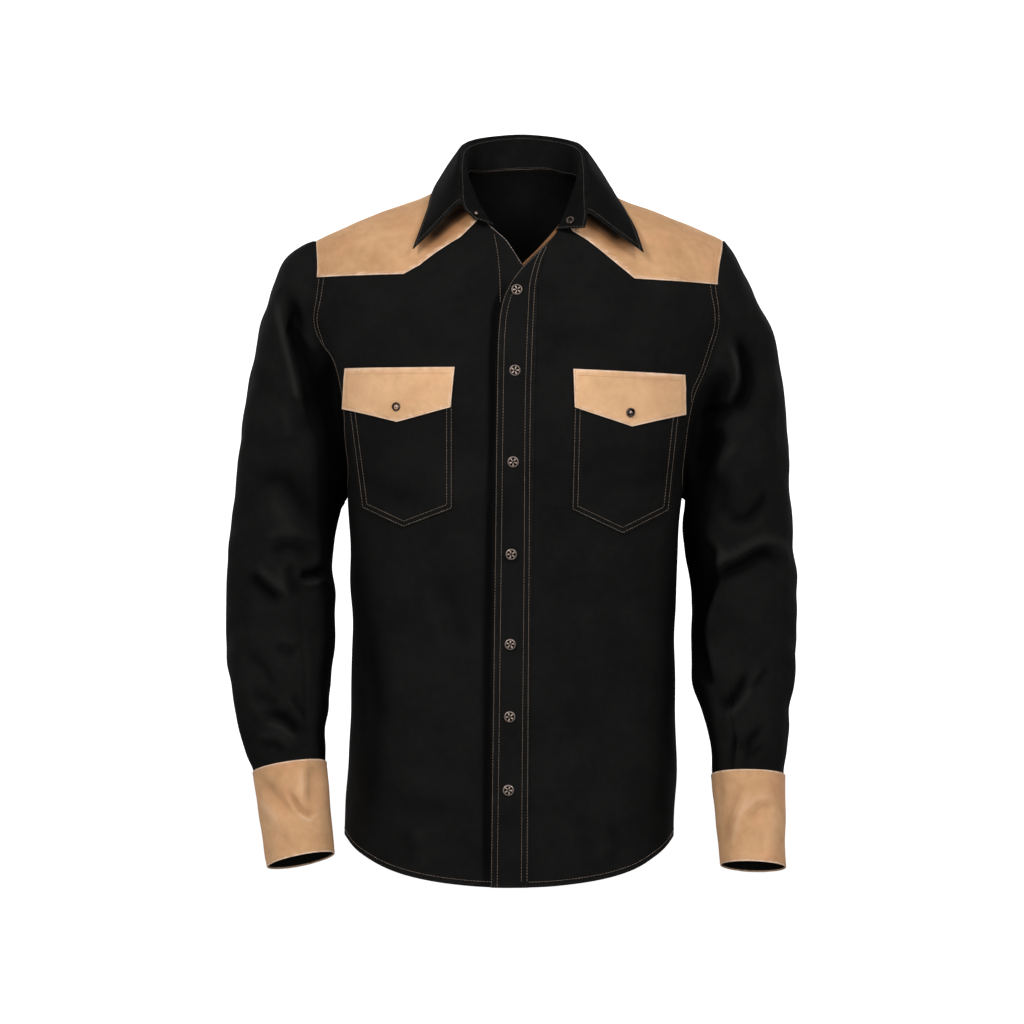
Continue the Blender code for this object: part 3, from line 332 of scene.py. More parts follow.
SLEEVE_LEFT_BACK = (
    (((246, -118), (238, -180), (214, -254)), 6, 16, 5),
    (((286, -322), (252, -344), (206, -340)), 7, 12, 4.5),
    (((292, -392), (250, -406), (198, -390)), 12, 7, 5.5),
    (((288, -446), (254, -430), (214, -444)), 9, 6, 3.5),
    (((286, -506), (246, -516), (204, -500)), 6, 10, 3.5),
    (((282, -552), (252, -566), (216, -556)), 8, 6, 3.5),
    (((268, -592), (262, -612), (260, -638)), 4.5, 3.5, 2.5),
    (((236, -592), (236, -612), (234, -636)), 4.5, 3.5, 2.2),
)
CUFF_RIGHT_FRONT = (
    (((-250, -647), (-243, -656), (-237, -665), (-230, -671), (-222, -674), (-214, -674)), 3.4, 2.8, 4.4),
    (((-284, -630), (-268, -649), (-254, -662), (-238, -682)), 9, 8, 3.2),
    (((-224, -616), (-223, -643), (-223, -670)), 12, 5, 2.8),
    (((-262, -690), (-249, -704), (-231, -714)), 8, 7, 1.3),
)
CUFF_LEFT_FRONT = (
    (((243, -636), (228, -664), (220, -692), (217, -716)), 5, 8, 2.5),
    (((240, -684), (252, -674), (262, -667), (277, -669)), 5, 6, 2.2),
    (((216, -628), (215, -660), (214, -690)), 5, 4, 1.6),
    (((266, -690), (258, -706), (262, -722)), 6, 8, 1.2),
)
CUFF_BACK = (
    # x is counted from the middle of the cuff towards its outer side
    (((8, -640), (2, -664), (6, -694)), 6, 8, 2),
    (((26, -648), (22, -676), (28, -712)), 5, 7, 1.6),
    (((-22, -640), (-14, -668), (-24, -706)), 7, 5, 1.6),
)
BODY_CREASE_SCALE = 1.2
SLEEVE_CREASE_SCALE = 1.75
CREASE_POWER = 1.6  # 2 is a soft round trough, 1 has a sharp bottom
CREASE_TAPER = 0.3  # share of its length over which a crease runs out at each end
BULGE_PLACE = 2.1  # the bulge beside a crease's steeper side, in half widths of that side
BULGE_WIDTH = 0.9
BULGE_HEIGHT = 0.28  # share of the crease's depth
SIDE_TURN = 1.4  # how fast the front's creases give way to the back's, round a side

# Painted shade: the cloth is coloured darker where shadow falls, on the arms' inner sides, down the body's
# sides and on the yokes under the collar's leaf: path, half width and depth of shade
SLEEVE_SHADES = (
    (((-206, -140), (-205, -180), (-208, -222), (-202, -262), (-199, -305), (-194, -362),
        (-194, -420)), 13, 26),
    (((226, -186), (216, -210), (208, -230), (203, -257), (199, -290), (198, -335), (196, -390)), 12, 24),
    (((194, -300), (190, -370), (194, -407), (196, -445), (198, -500), (201, -560)), 8, 14),
)
BODY_SHADES = (
    # painted shade down the body's sides, next to the arms
    (((-176, -310), (-174, -433), (-171, -486), (-168, -550), (-168, -760)), 9, 3.4),
    (((-170, -420), (-161, -490), (-154, -540), (-153, -582), (-158, -646), (-164, -720)), 12, 3.8),
    (((-160, -590), (-152, -660), (-146, -720), (-142, -800)), 24, 1.8),
    (((168, -330), (166, -420), (165, -520), (160, -620), (156, -700), (154, -800)), 13, 4.5),
    # painted shadow of the collar's leaf on the yokes
    (((-112, -73), (-96, -58), (-82, -44), (-68, -31), (-54, -22), (-40, -14)), 10.5, 24),
    (((56, -16), (68, -26), (80, -36), (94, -47), (108, -59), (124, -73)), 10.5, 24),
)
UNDER_EDGE_SHADES = (
    # painted shadow on the wearer's right front, beside the left front's edge that lies on it
    (((-12, -96), (-20, -118), (-26, -140), (-29, -190), (-30, -290), (-32, -400)), 3.4, 12),
    (((-31, -260), (-33, -400), (-35, -560), (-35, -700), (-35, -860)), 3.6, 12),
)

# Stitching: distances from an edge, and lines seen from the front as (x, height) points
STITCH_PITCH = 3.3
STITCH_LENGTH = 2.45
STITCH_RADIUS = 0.18
STITCH_SEAT = 0.1  # height of a stitch's middle above the cloth
STITCH_SIDES = 6
STITCH_PROFILE = (
    # along, size, rise: shares of a stitch's half length and radius, at its rings from end to end
    (-1, 0.45, -0.9), (-0.72, 1, 0), (0.72, 1, 0), (1, 0.45, -0.9),
)
WAY_STEP = 0.4  # half the length over which the direction of a line of stitches is taken
SEEN_STEP = 1.5  # spacing of the points of a line that is seen from the front
LINE_STEPS = 12  # points of a smooth line between two of its path's
SHORTEST_RUN = 3  # points of such a line, up to which it isn't sewn
EDGE_STITCH = 1.7
CUFF_STITCH = 2.3
FLAP_STITCH = 2.1
TOP_STITCH_END = 2.0  # how far short of a flap's sides the stitching along its top ends
SECOND_STITCH = 6.6
HEM_STITCH = 6.0
ARMHOLE_STITCHES = (2.2, 9.4)
# Heights at which the inner armhole stitch parts from the outer one, and the height over which it does
INNER_STITCH_ENDS = {"front_right": -180.0, "front_left": -240.0, "back": -200.0}
INNER_STITCH_RAMP = 24.0
COLLAR_STITCH = 5.5
COLLAR_BAND_STITCH = 3.0
EDGE_STITCHES_LEFT = (
    # distance from the edge of the wearer's left front, and the height at which the stitching ends
    (0.7, -50), (6.9, -105),
)
NECK_STITCH_LOW = -95.0
YOKE_STITCH = 2.2
PLACKET_STITCHES = (
    ((29, -66), (22, -83), (17.4, -102), (15.2, -125), (11.4, -231), (10, -401), (8.6, -614), (7.8, -744)),
    ((24, -68), (16.8, -84), (12, -102), (9.7, -125), (6, -231), (4.8, -401), (2.8, -614), (1.8, -744)),
)
NECK_STITCH_RIGHT = ((-27.5, -52.0), (-24.0, -70.0), (-21.5, -95.0), (-20.5, -128.0))
YOKE_STITCHES = (
    ("front_yoke_right", ((-206.5, -92), (-210, -75), (-211, -64), (-204, -56), (-188, -49))),
    ("front_yoke_left", ((206.5, -100), (209.5, -82), (210, -69), (202, -61), (186, -53))),
)

# Marks of wear and sewing
YOKE_TONE = -0.08  # how much paler a piece is than its cloth's own colour; on the yokes and flaps this is partly painted light, the yokes darkened as they tilt up into the lights and the flaps lightened as they face away from them
FLAP_TONE = 0.2
CUFF_TONE = -0.02
# the facing's tone is painted shade as well, darkened for the shadow inside the neck
FACING_TONE = -0.5
FACING_SHADE = 15.0  # painted shade: the facing lies in shadow inside the neck, and is coloured as dark as the bottom of a deep crease
COLLAR_TONE = -0.28
EDGE_WEAR = 1.5  # distance from an edge over which the cloth is worn
SEAM_PUCKER = 8.0  # distance from a seam over which the cloth puckers
FLAT_UNIT = 100.0  # millimetres of cloth for each unit of the cloth's UV map

# Snaps
CAP_SIDES = 56
CAP_SHARP = 50.0  # degrees between faces, past which a cap's edge is sharp
TURN_PER_HEIGHT = 9.0  # each cap is pressed at its own angle, which goes with its height on the shirt
PITS = 5  # round the middle of a front or cuff snap's cap
PIT_RING = 0.43  # share of the cap's radius at which the pits lie
PIT_WIDTH = 0.21
PIT_LENGTH = 0.62  # 1 would join the pits to a ring
PIT_DEPTH = 0.5
MIDDLE_PIT = 0.7  # share of that depth
MIDDLE_PIT_WIDTH = 0.12
PIT_DARKNESS = 1.9
PIT_SPREAD = 2.4  # above 1 the darkness spreads past the pits
DOME_END = 0.03  # share of the radius at which a dome's flat middle starts
DOME_DARKNESS = 0.1
# Profiles from the foot to the middle, as shares of the CAD cap's radius and height, and the darkness
CAP_RIM = (
    (0.9, 0, 0.8), (0.98, 0.12, 0.6), (1, 0.35, 0.1), (0.985, 0.6, 0), (0.93, 0.85, 0), (0.87, 0.97, 0),
    (0.83, 1, 0), (0.79, 0.93, 0.5), (0.76, 0.8, 1), (0.7, 0.76, 1),
)
RING = ((0.9, 0, 1), (1, 0.3, 1), (0.98, 0.7, 0.85), (0.88, 0.97, 0.7), (0.74, 1, 0.75))
RING_HOLLOW = ((0.6, 0.85, 1), (0.5, 0.45, 1), (0.42, 0.4, 1), (0.36, 0.55, 0.4))
SOCKET_HOLLOW = ((0.6, 0.8, 0.8), (0.5, 0.3, 1), (0.3, 0.25, 1), (0.02, 0.25, 1))
STUD = (
    (0.95, 0, 1), (1, 0.2, 1), (0.8, 0.35, 1), (0.62, 0.5, 0.9), (0.66, 0.8, 0.3), (0.55, 0.95, 0),
    (0.3, 1, 0), (0.03, 1, 0),
)

# Weave, in millimetres
TWILL_PITCH = 0.95
YARN_PITCH = 0.42
TWILL_ANGLE = -58.0  # degrees
RIB_WAVER = 0.35  # how unevenly the ribs run
FLECK_SIZE = 0.7
# Unevenness of the cloth's dye, its wear and its surface, in metres
MOTTLE_SIZE = 0.045
STREAK_SIZE = 0.009
PATCH_SIZE = 0.034
PUCKER_SIZE = 0.0065
WRINKLE_SIZE = 0.021
# How much each of these makes the cloth darker or paler, and the tone at which it is darkest or palest
WEAVE_TONE = (-0.16, 0.10)
FLECK_TONE = (-0.10, 0.10)
MOTTLE_TONE = (-0.11, 0.11)
STREAK_TONE = (-0.05, 0.05)
TONE_ENDS = (-0.35, 0.35)
PATCH_SHARE = 0.4  # of the faded colour in a faded patch
# Depths of a crease, and amounts of painted shade, at which the cloth goes from one colour to the next, and
# the share of that one: painted shade in a crease, painted shade where shadow falls, and a painted highlight
# on the bulge beside a crease
CREASE_START, CREASE_SHARE = 0.4, 0.9
PAINTED_SHADE_ENDS, PAINTED_SHADE_SHARE = (9.0, 22.0), 0.96
RIDGE_ENDS, RIDGE_SHARE = (-2.4, -0.2), 0.6
# Heights of the cloth's surface in millimetres
WEAVE_HEIGHT = 0.10
PUCKER_HEIGHT = 0.8
WRINKLE_HEIGHT = 0.7
FLECK_HEIGHT = 0.04

# Colours (linear) of the cloths, the threads and the snaps, and the groups of stitches of each thread
BLACK = (
    # painted shade where shadow falls, painted shade deep in a crease, darker, paler, worn (also the painted
    # highlight on a crease's bulge), and in faded patches
    (0.0003, 0.0003, 0.0003), (0.0018, 0.0018, 0.0018), (0.0045, 0.0044, 0.0043), (0.012, 0.0119, 0.0115),
    (0.02, 0.0195, 0.0188), (0.0092, 0.0092, 0.0088),
)
TAN = (
    (0.012, 0.006, 0.003), (0.3, 0.14, 0.06), (0.4, 0.212, 0.096), (0.78, 0.48, 0.268),
    (0.86, 0.64, 0.49), (0.62, 0.3, 0.165),
)
THREAD_TAN = (0.27, 0.200, 0.148)
THREAD_DULL = (0.085, 0.066, 0.052)
THREAD_LIGHT = (0.66, 0.54, 0.46)
THREAD_PALE = (0.34, 0.180, 0.085)
PALE_STITCHES = ("stitching_flap", "stitching_yokes", "stitching_cuffs")
DULL_STITCHES = ("stitching_collar", "stitching_sleeves")
LIGHT_STITCHES = ("stitching_neck",)
COPPER_RUBBED = (0.50, 0.40, 0.35)
COPPER_DARK = (0.008, 0.0042, 0.0021)
# Sizes in metres of what is uneven on threads and snaps
THREAD_UNEVEN = 0.006
THREAD_FIBRE = 0.0004
FIBRE_HEIGHT = 0.1 * MM
STAIN_SIZE = 0.0022
SCRATCH_SIZE = 0.0005
SCRATCH_DEPTH = 0.06 * MM

# Studio, in metres: a light's place, its size and its power in watts
LIGHTS = (
    ("key", (-1.9, -2.9, 2), 1.2, 82),
    ("side", (2, -3, 1.8), 1.3, 68),
    ("front", (0, -4.6, -0.6), 2.6, 36),
    ("back_left", (-2.4, 3.4, 1.2), 1.8, 66),
    ("back_right", (2.4, 3.4, 1.2), 1.8, 66),
)
LIGHTS_AIM = (0.0, 0.0, -0.35)
AMBIENT = 0.34
STAGE_GLOW = 1.08
FLOOR = -0.96
FLOOR_RADIUS = 9.0
WALL_TOP = 9.0
BEND = 3.0  # radius of the curve from the floor into the wall
BEND_RINGS = 12
PAPER = (0.93, 0.93, 0.93, 1.0)
STAGE_SIDES = 96

# Camera, in metres
CAMERA_PLACE = (-0.00816, -5.0, -0.3502)
CAMERA_LENS = 161.65
SENSOR = 36.0


def between(rows, at):
    """Smooth values of a table's later columns, at values of its first column, with no overshoot."""
    table = np.array(rows, float)
    keys, values = table[:, 0], table[:, 1:]
    at = np.clip(np.asarray(at, float), keys[0], keys[-1])
    step = np.diff(keys)[:, None]
    rise = np.diff(values, axis=0) / step
    slope = np.vstack([rise[:1], (rise[1:] + rise[:-1]) / 2, rise[-1:]])
    turns = rise[1:] * rise[:-1] <= 0
    slope[1:-1][turns] = 0.0
    limit = 3 * np.minimum(np.abs(np.vstack([rise[:1], rise])), np.abs(np.vstack([rise, rise[-1:]])))
    slope = np.clip(slope, -limit, limit)
    cell = np.clip(np.searchsorted(keys, at, side="right") - 1, 0, len(keys) - 2)
    t = ((at - keys[cell]) / np.diff(keys)[cell])[..., None]
    width = step[cell]
    ends = (2 * t**3 - 3 * t**2 + 1) * values[cell] + (3 * t**2 - 2 * t**3) * values[cell + 1]
    bends = (t**3 - 2 * t**2 + t) * slope[cell] + (t**3 - t**2) * slope[cell + 1]
    result = ends + width * bends
    return result[..., 0] if values.shape[1] == 1 else np.moveaxis(result, -1, 0)


def smooth(t):
    t = np.clip(t, 0.0, 1.0)
    return t * t * (3 - 2 * t)


def unit(vectors):
    vectors = np.asarray(vectors, float)
    return vectors / np.maximum(np.linalg.norm(vectors, axis=-1, keepdims=True), 1e-12)


def arc_lengths(points, axis=0):
    """Distance along each line of a grid, from its start."""
    steps = np.linalg.norm(np.diff(points, axis=axis), axis=-1)
    first = np.zeros_like(np.take(steps, [0], axis=axis))
    return np.concatenate([first, np.cumsum(steps, axis=axis)], axis=axis)


def stepped(stops):
    """Values that run through the stops' first numbers in as many steps as their second ones say."""
    runs = [np.linspace(a[0], b[0], a[1], endpoint=False) for a, b in zip(stops, stops[1:])]
    return np.concatenate([*runs, [stops[-1][0]]])


def waves(points, length, seed):
    """A smooth uneven field of about -1 to 1, whose swells are about this many millimetres long."""
    random = np.random.default_rng(seed)
    turns = 2 * math.pi / (length * random.uniform(0.7, 1.5, WAVES))
    ways = unit(random.normal(size=(WAVES, 3))) * turns[:, None]
    phases = random.uniform(0, 2 * math.pi, WAVES)
    return np.cos(points @ ways.T + phases).sum(axis=-1) / math.sqrt(WAVES)


def swelling(points, swells):
    """The soft unevenness of cloth at each point, in millimetres."""
    return sum(height * waves(points, length, seed) for height, length, seed in swells)


# ---------------------------------------------------------------- creases


def curve_through(path, steps=6):
    """A smooth line through the points of a path."""
    rows = [(key, *point) for key, point in enumerate(path)]
    last = len(rows) - 1
    return np.stack(between(rows, np.linspace(0, last, steps * last + 1)), -1)


def crease_depth(points, creases, scale):
    """How far the creases push each point in. The cloth beside a crease's steeper side bulges a little."""
    depth = np.zeros(points.shape[:-1])
    place = points[..., [0, 2]]
    for path, left, right, deep in creases:
        line = curve_through(path)
        way = np.diff(line, axis=0)
        rel = place[..., None, :] - line[:-1]
        t = np.clip((rel * way).sum(-1) / (way * way).sum(-1), 0, 1)
        off = rel - t[..., None] * way
        distance = np.linalg.norm(off, axis=-1)
        nearest = distance.argmin(axis=-1)[..., None]
        away = np.take_along_axis(distance, nearest, -1)[..., 0]
        cross = way[:, 0] * off[..., 1] - way[:, 1] * off[..., 0]
        on_left = np.take_along_axis(cross, nearest, -1)[..., 0] > 0
        share = (nearest[..., 0] + np.take_along_axis(t, nearest, -1)[..., 0]) / len(way)
        taper = smooth(share / CREASE_TAPER) * smooth((1 - share) / CREASE_TAPER)
        deep *= scale
        depth += deep * taper * np.exp(-((away / np.where(on_left, left, right)) ** CREASE_POWER))
        steep = min(left, right)
        if left != right:
            bulge = np.exp(-(((away - BULGE_PLACE * steep) / (BULGE_WIDTH * steep)) ** 2))
            depth -= BULGE_HEIGHT * deep * taper * (bulge * (on_left == (left < right)))
    return depth


def shade_depth(points, shades):
    """How much painted shade darkens each point, on the scale of a crease's depth."""
    return crease_depth(points, [(path, width, width, deep) for path, width, deep in shades], 1.0)


def folded(points, normals, front, back, scale=1.0):
    """The points, pushed in by the creases of whichever side they face, and how far each was pushed."""
    forward, backward = smooth(-SIDE_TURN * normals[..., 1]), smooth(SIDE_TURN * normals[..., 1])
    depth = crease_depth(points, front, scale) * forward + crease_depth(points, back, scale) * backward
    return points - normals * depth[..., None], depth


# ---------------------------------------------------------------- body form


def body(u, row, back):
    """Points of the body form. u runs from -1 at the wearer's right side to 1 at the left side."""
    u, row, back = np.broadcast_arrays(np.asarray(u, float), np.asarray(row, float), np.asarray(back))
    over = row > 2
    around = np.abs(u) > 1
    back = back ^ over ^ around
    row = np.where(over, 4 - row, row)
    u = np.where(around, np.sign(u) * (2 - np.abs(u)), u)
    roll = np.clip(row - 1, 0, 1) * math.pi / 2
    hem = between(HEM, u)
    height = hem + np.minimum(row, 1) * (CHEST - hem) + np.clip(row - 1, 0, 1) * SHOULDER_RISE
    half, centre, front_depth, back_depth, square = between(TORSO, height)
    across = np.sin(u * math.pi / 2)
    depth = (1 - np.abs(across) ** square) ** (1 / square)
    depth = depth * np.where(back, back_depth, -front_depth)
    x = centre + half * across
    y = depth * np.cos(roll) + RIDGE_BACK * np.sin(roll)
    z = np.where(row > 1, CHEST + (between(RIDGE, np.hypot(x, RIDGE_ROUND)) - CHEST) * np.sin(roll), height)
    return np.stack([x, y, z], axis=-1)


def body_normal(u, row, back):
    """Outward normals of the body form."""
    step = 1e-3
    along = body(u + step, row, back) - body(u - step, row, back)
    row = np.maximum(row, step)
    up = body(u, row + step, back) - body(u, row - step, back)
    outward = np.where(back, -1.0, 1.0)
    return unit(np.cross(along, up)) * outward[..., None]


def meet(row, edge):
    """Where a row of the front crosses an edge: the u at which x is the edge's at that height."""
    low, high = np.full(np.shape(row), -1.0), np.full(np.shape(row), 1.0)
    for _ in range(HALVINGS):
        middle = (low + high) / 2
        point = body(middle, row, False)
        short = point[..., 0] < between(edge, point[..., 2])
        low, high = np.where(short, middle, low), np.where(short, high, middle)
    return (low + high) / 2


def draped(points, normals):
    """The body's cloth with its creases and its soft unevenness, and how deep each point is creased."""
    points = points + normals * swelling(points, BODY_SWELLS)[..., None]
    return folded(points, normals, BODY_CREASES_FRONT, BODY_CREASES_BACK, BODY_CREASE_SCALE)


def grid_normals(points):
    """Normals of a grid of points, towards the side from which its rows run up and its columns run right."""
    return unit(np.cross(np.gradient(points, axis=1), np.gradient(points, axis=0)))


class Grid:
    """Rows of points on the outside of the cloth, with normals.

    flat holds each point's place on the flat cloth in millimetres, and how deep it is creased, with any
    painted shade added on the same scale."""

    def __init__(self, points, normals, depth=0.0, flat=None):
        self.points, self.normals = points, normals
        middle = points.shape[1] // 2
        if flat is None:
            around = arc_lengths(points, axis=1)
            along = arc_lengths(points, axis=0)
            places = (around - around[:, middle : middle + 1], along[:, middle : middle + 1], depth)
            flat = np.stack(np.broadcast_arrays(*places), -1)
        self.flat = flat


def panel_grid(u, row, back, lift=False):
    """A panel's grid, from the body form's u and row at each point."""
    row = np.broadcast_to(row, u.shape)
    outward = body_normal(u, row, back)
    points, depth = draped(body(u, row, back), outward)
    if not back:
        # Painted shade down the fronts' sides and under the collar's leaf, and on the wearer's right front a
        # painted shadow beside the left front's edge
        depth = depth + shade_depth(points, BODY_SHADES if lift else BODY_SHADES + UNDER_EDGE_SHADES)
    if lift:
        points = points + outward * overlap_lift(points)[..., None]
    normals = -grid_normals(points) if back else grid_normals(points)
    return Grid(points, np.where(np.abs(normals).sum(-1, keepdims=True) > 0.5, normals, outward), depth)


def front_grid(wearers_right):
    """A front panel's grid: rows from the hem up, columns towards the wearer's left."""
    rows = stepped(FRONT_ROWS)
    edge = EDGE_RIGHT if wearers_right else EDGE_LEFT
    armhole = ARMHOLE_RIGHT if wearers_right else ARMHOLE_LEFT
    opening = meet(rows, edge)
    side = np.where(rows <= ARMPIT_ROW + 1e-6, -1.0 if wearers_right else 1.0, meet(rows, armhole))
    first, last = (side, opening) if wearers_right else (opening, side)
    u = first[:, None] + (last - first)[:, None] * np.linspace(0, 1, FRONT_COLUMNS + 1)
    return panel_grid(u, rows[:, None], False, lift=not wearers_right)


def back_grid():
    """The back panel's grid, with columns from the wearer's right to the left."""
    rows = stepped(BACK_ROWS)
    left = between(ARMHOLE_BACK, rows)
    right = -left
    right[-1], neck_right, neck_left, left[-1] = (
        meet(SHOULDER_SEAM, edge) for edge in (ARMHOLE_RIGHT, EDGE_RIGHT, EDGE_LEFT, ARMHOLE_LEFT)
    )
    outer, middle, _ = BACK_COLUMNS
    stops = [0, outer, outer + middle, 2 * outer + middle]
    column = np.arange(stops[-1] + 1)
    spread = smooth((rows - SPREAD_START) / SPREAD_ROWS)[:, None]
    even = right[:, None] + (left - right)[:, None] * (column / stops[-1])
    seamed = np.array([np.interp(column, stops, [r, neck_right, neck_left, w]) for r, w in zip(right, left)])
    u = even + (seamed - even) * spread
    place = np.interp(column, stops[1:3], [-1.0, 1.0])
    top = between(NECK_BACK, place)
    rows = rows[:, None]
    row = np.where(rows > 1, 1 + (rows - 1) * (top - 1) / (3 - SHOULDER_SEAM), rows)
    return panel_grid(u, row, True)


def overlap_lift(points):
    """The wearer's left front lies on the right one, so it is one layer further out near its edge."""
    return LAYER * smooth((OVERLAP_END - points[..., 0]) / OVERLAP_RAMP)


# ---------------------------------------------------------------- sheets and shells


class Sheet:
    """Points on the outside of the cloth, with normals, places on the flat cloth and faces.

    turn is the width of the flat cloth once round a sheet that closes on itself."""

    def __init__(self, points, normals, flat, faces, turn=0.0):
        self.points, self.normals, self.flat = points, normals, flat
        self.faces, self.turn = faces, turn
        self.tree = None

    def raised(self, lift):
        """The same sheet, moved out along its normals."""
        lift = np.broadcast_to(lift, len(self.points))[:, None]
        return Sheet(self.points + self.normals * lift, self.normals, self.flat, self.faces, self.turn)

    def hit(self, start, way):
        """The first point of the sheet that a line from start meets, and its normal there, or None."""
        if self.tree is None:
            self.tree = BVHTree.FromPolygons(self.points.tolist(), self.faces)
        place, _, face, _ = self.tree.ray_cast(Vector(start), Vector(way))
        if place is None:
            return None
        return np.array(place), unit(self.normals[list(self.faces[face])].mean(axis=0))


def trimmed(grid, edges, amount=GAP / 2):
    """The grid with its named edges pulled in, which leaves GAP between two pieces at a seam."""
    points = grid.points.copy()
    for edge, here, inner in (
        ("bottom", np.s_[0], np.s_[1]),
        ("top", np.s_[-1], np.s_[-2]),
        ("left", np.s_[:, 0], np.s_[:, 1]),
        ("right", np.s_[:, -1], np.s_[:, -2]),
    ):
        if edge in edges:
            points[here] += amount * unit(points[inner] - points[here])
    return Grid(points, grid.normals, flat=grid.flat)


def grid_sheet(grid, turned=False, turn=0.0):
    """A sheet from a grid. turned faces it the other way, and a turn closes it on its first column."""
    rows, columns = grid.points.shape[:2]
    index = np.arange(rows * columns).reshape(rows, columns)
    if turn:
        index = np.hstack([index, index[:, :1]])
    corners = [index[:-1, :-1], index[:-1, 1:], index[1:, 1:], index[1:, :-1]]
    faces = np.stack(corners, -1).reshape(-1, 4)
    faces = faces[:, ::-1] if turned else faces
    lines = (grid.points.reshape(-1, 3), grid.normals.reshape(-1, 3), grid.flat.reshape(-1, 3))
    return Sheet(*lines, faces.tolist(), turn)


def inside(x, z, outline):
    """Whether a place lies inside an outline of (x, z) points."""
    hit = False
    for (x0, z0), (x1, z1) in zip(outline, outline[1:] + outline[:1]):
        if (z0 > z) != (z1 > z) and x < x0 + (z - z0) * (x1 - x0) / (z1 - z0):
            hit = not hit
    return hit


def cut_sheet(sheet, outline):
    """The part of a sheet inside an outline of (x, z) points, seen from the front."""
    low, high = np.min(outline, axis=0), np.max(outline, axis=0)
    spread = sheet.points[np.array(sheet.faces)][..., [0, 2]]
    near = ((spread.min(axis=1) < high) & (spread.max(axis=1) > low)).all(axis=1)
    bm = bmesh.new()
    normal_layer = bm.verts.layers.float_vector.new("normal")
    flat_layer = bm.verts.layers.float_vector.new("flat")
    verts = {}
    for face in np.array(sheet.faces)[near].tolist():
        for i in face:
            if i not in verts:
                verts[i] = bm.verts.new(sheet.points[i])
                verts[i][normal_layer] = sheet.normals[i]
                verts[i][flat_layer] = sheet.flat[i]
        bm.faces.new([verts[i] for i in face])
    for (x0, z0), (x1, z1) in zip(outline, outline[1:] + outline[:1]):
        low_x, high_x = min(x0, x1) - CUT_MARGIN, max(x0, x1) + CUT_MARGIN
        low_z, high_z = min(z0, z1) - CUT_MARGIN, max(z0, z1) + CUT_MARGIN
        parts = set()
        for face in bm.faces:
            xs = [v.co.x for v in face.verts]
            zs = [v.co.z for v in face.verts]
            if min(xs) < high_x and max(xs) > low_x and min(zs) < high_z and max(zs) > low_z:
                parts.update([face, *face.verts, *face.edges])
        plane = {"plane_co": (x0, 0, z0), "plane_no": (z1 - z0, 0, x0 - x1)}
        bmesh.ops.bisect_plane(bm, geom=list(parts), dist=CUT_SNAP, **plane)
    middles = [(face, face.calc_center_median()) for face in bm.faces]
    outside = [face for face, middle in middles if not inside(middle.x, middle.z, outline)]
    bmesh.ops.delete(bm, geom=outside, context="FACES")
    bmesh.ops.triangulate(bm, faces=[face for face in bm.faces if len(face.verts) > 4])
    bm.verts.index_update()
    points = np.array([v.co for v in bm.verts], float)
    normals = unit([v[normal_layer] for v in bm.verts])
    flat = np.array([v[flat_layer] for v in bm.verts], float)
    faces = [[v.index for v in face.verts] for face in bm.faces]
    bm.free()
    return Sheet(points, normals, flat, faces)


def rim_of(faces):
    """The directed edges that only one face has."""
    ways = {(a, b) for face in faces for a, b in zip(face, face[1:] + face[:1])}
    return np.array(sorted((a, b) for a, b in ways if (b, a) not in ways))


def rim_distance(points, rim):
    """How far each point lies from the sheet's rim."""
    shares = np.array([0.0, 1 / 3, 2 / 3])[:, None, None]
    marks = (points[rim[:, 0]] * (1 - shares) + points[rim[:, 1]] * shares).reshape(-1, 3)
    tree = KDTree(len(marks))
    for i, mark in enumerate(marks):
        tree.insert(mark, i)
    tree.balance()
    return np.array([tree.find(point)[2] for point in points])


def add_piece(name, points, faces, material, replaces=()):
    """An object on the shirt's body, from points in millimetres; returns its mesh."""
    mesh = bpy.data.meshes.new(name)
    mesh.from_pydata((points * MM).tolist(), [], faces)
    mesh.polygons.foreach_set("use_smooth", [True] * len(faces))
    mesh.materials.append(material)
    obj = bpy.data.objects.new(name, mesh)
    bpy.context.scene.collection.objects.link(obj)
    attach(obj, "root")
    if replaces:
        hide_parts(*replaces)
    return mesh


def band_faces(rings, sides):
    """The faces round a turned piece, whose points are its rings in turn."""
    return [
        [low + k, low + (k + 1) % sides, low + sides + (k + 1) % sides, low + sides + k]
        for low in range(0, (rings - 1) * sides, sides)
        for k in range(sides)
    ]


def turned_faces(rings, sides):
    """The faces of a turned piece with flat ends."""
    last = (rings - 1) * sides
    return [*band_faces(rings, sides), list(range(last, last + sides)), list(range(sides))[::-1]]


def add_attribute(mesh, name, values):
    attribute = mesh.attributes.new(name, "FLOAT", "POINT")
    attribute.data.foreach_set("value", np.asarray(values, np.float32))


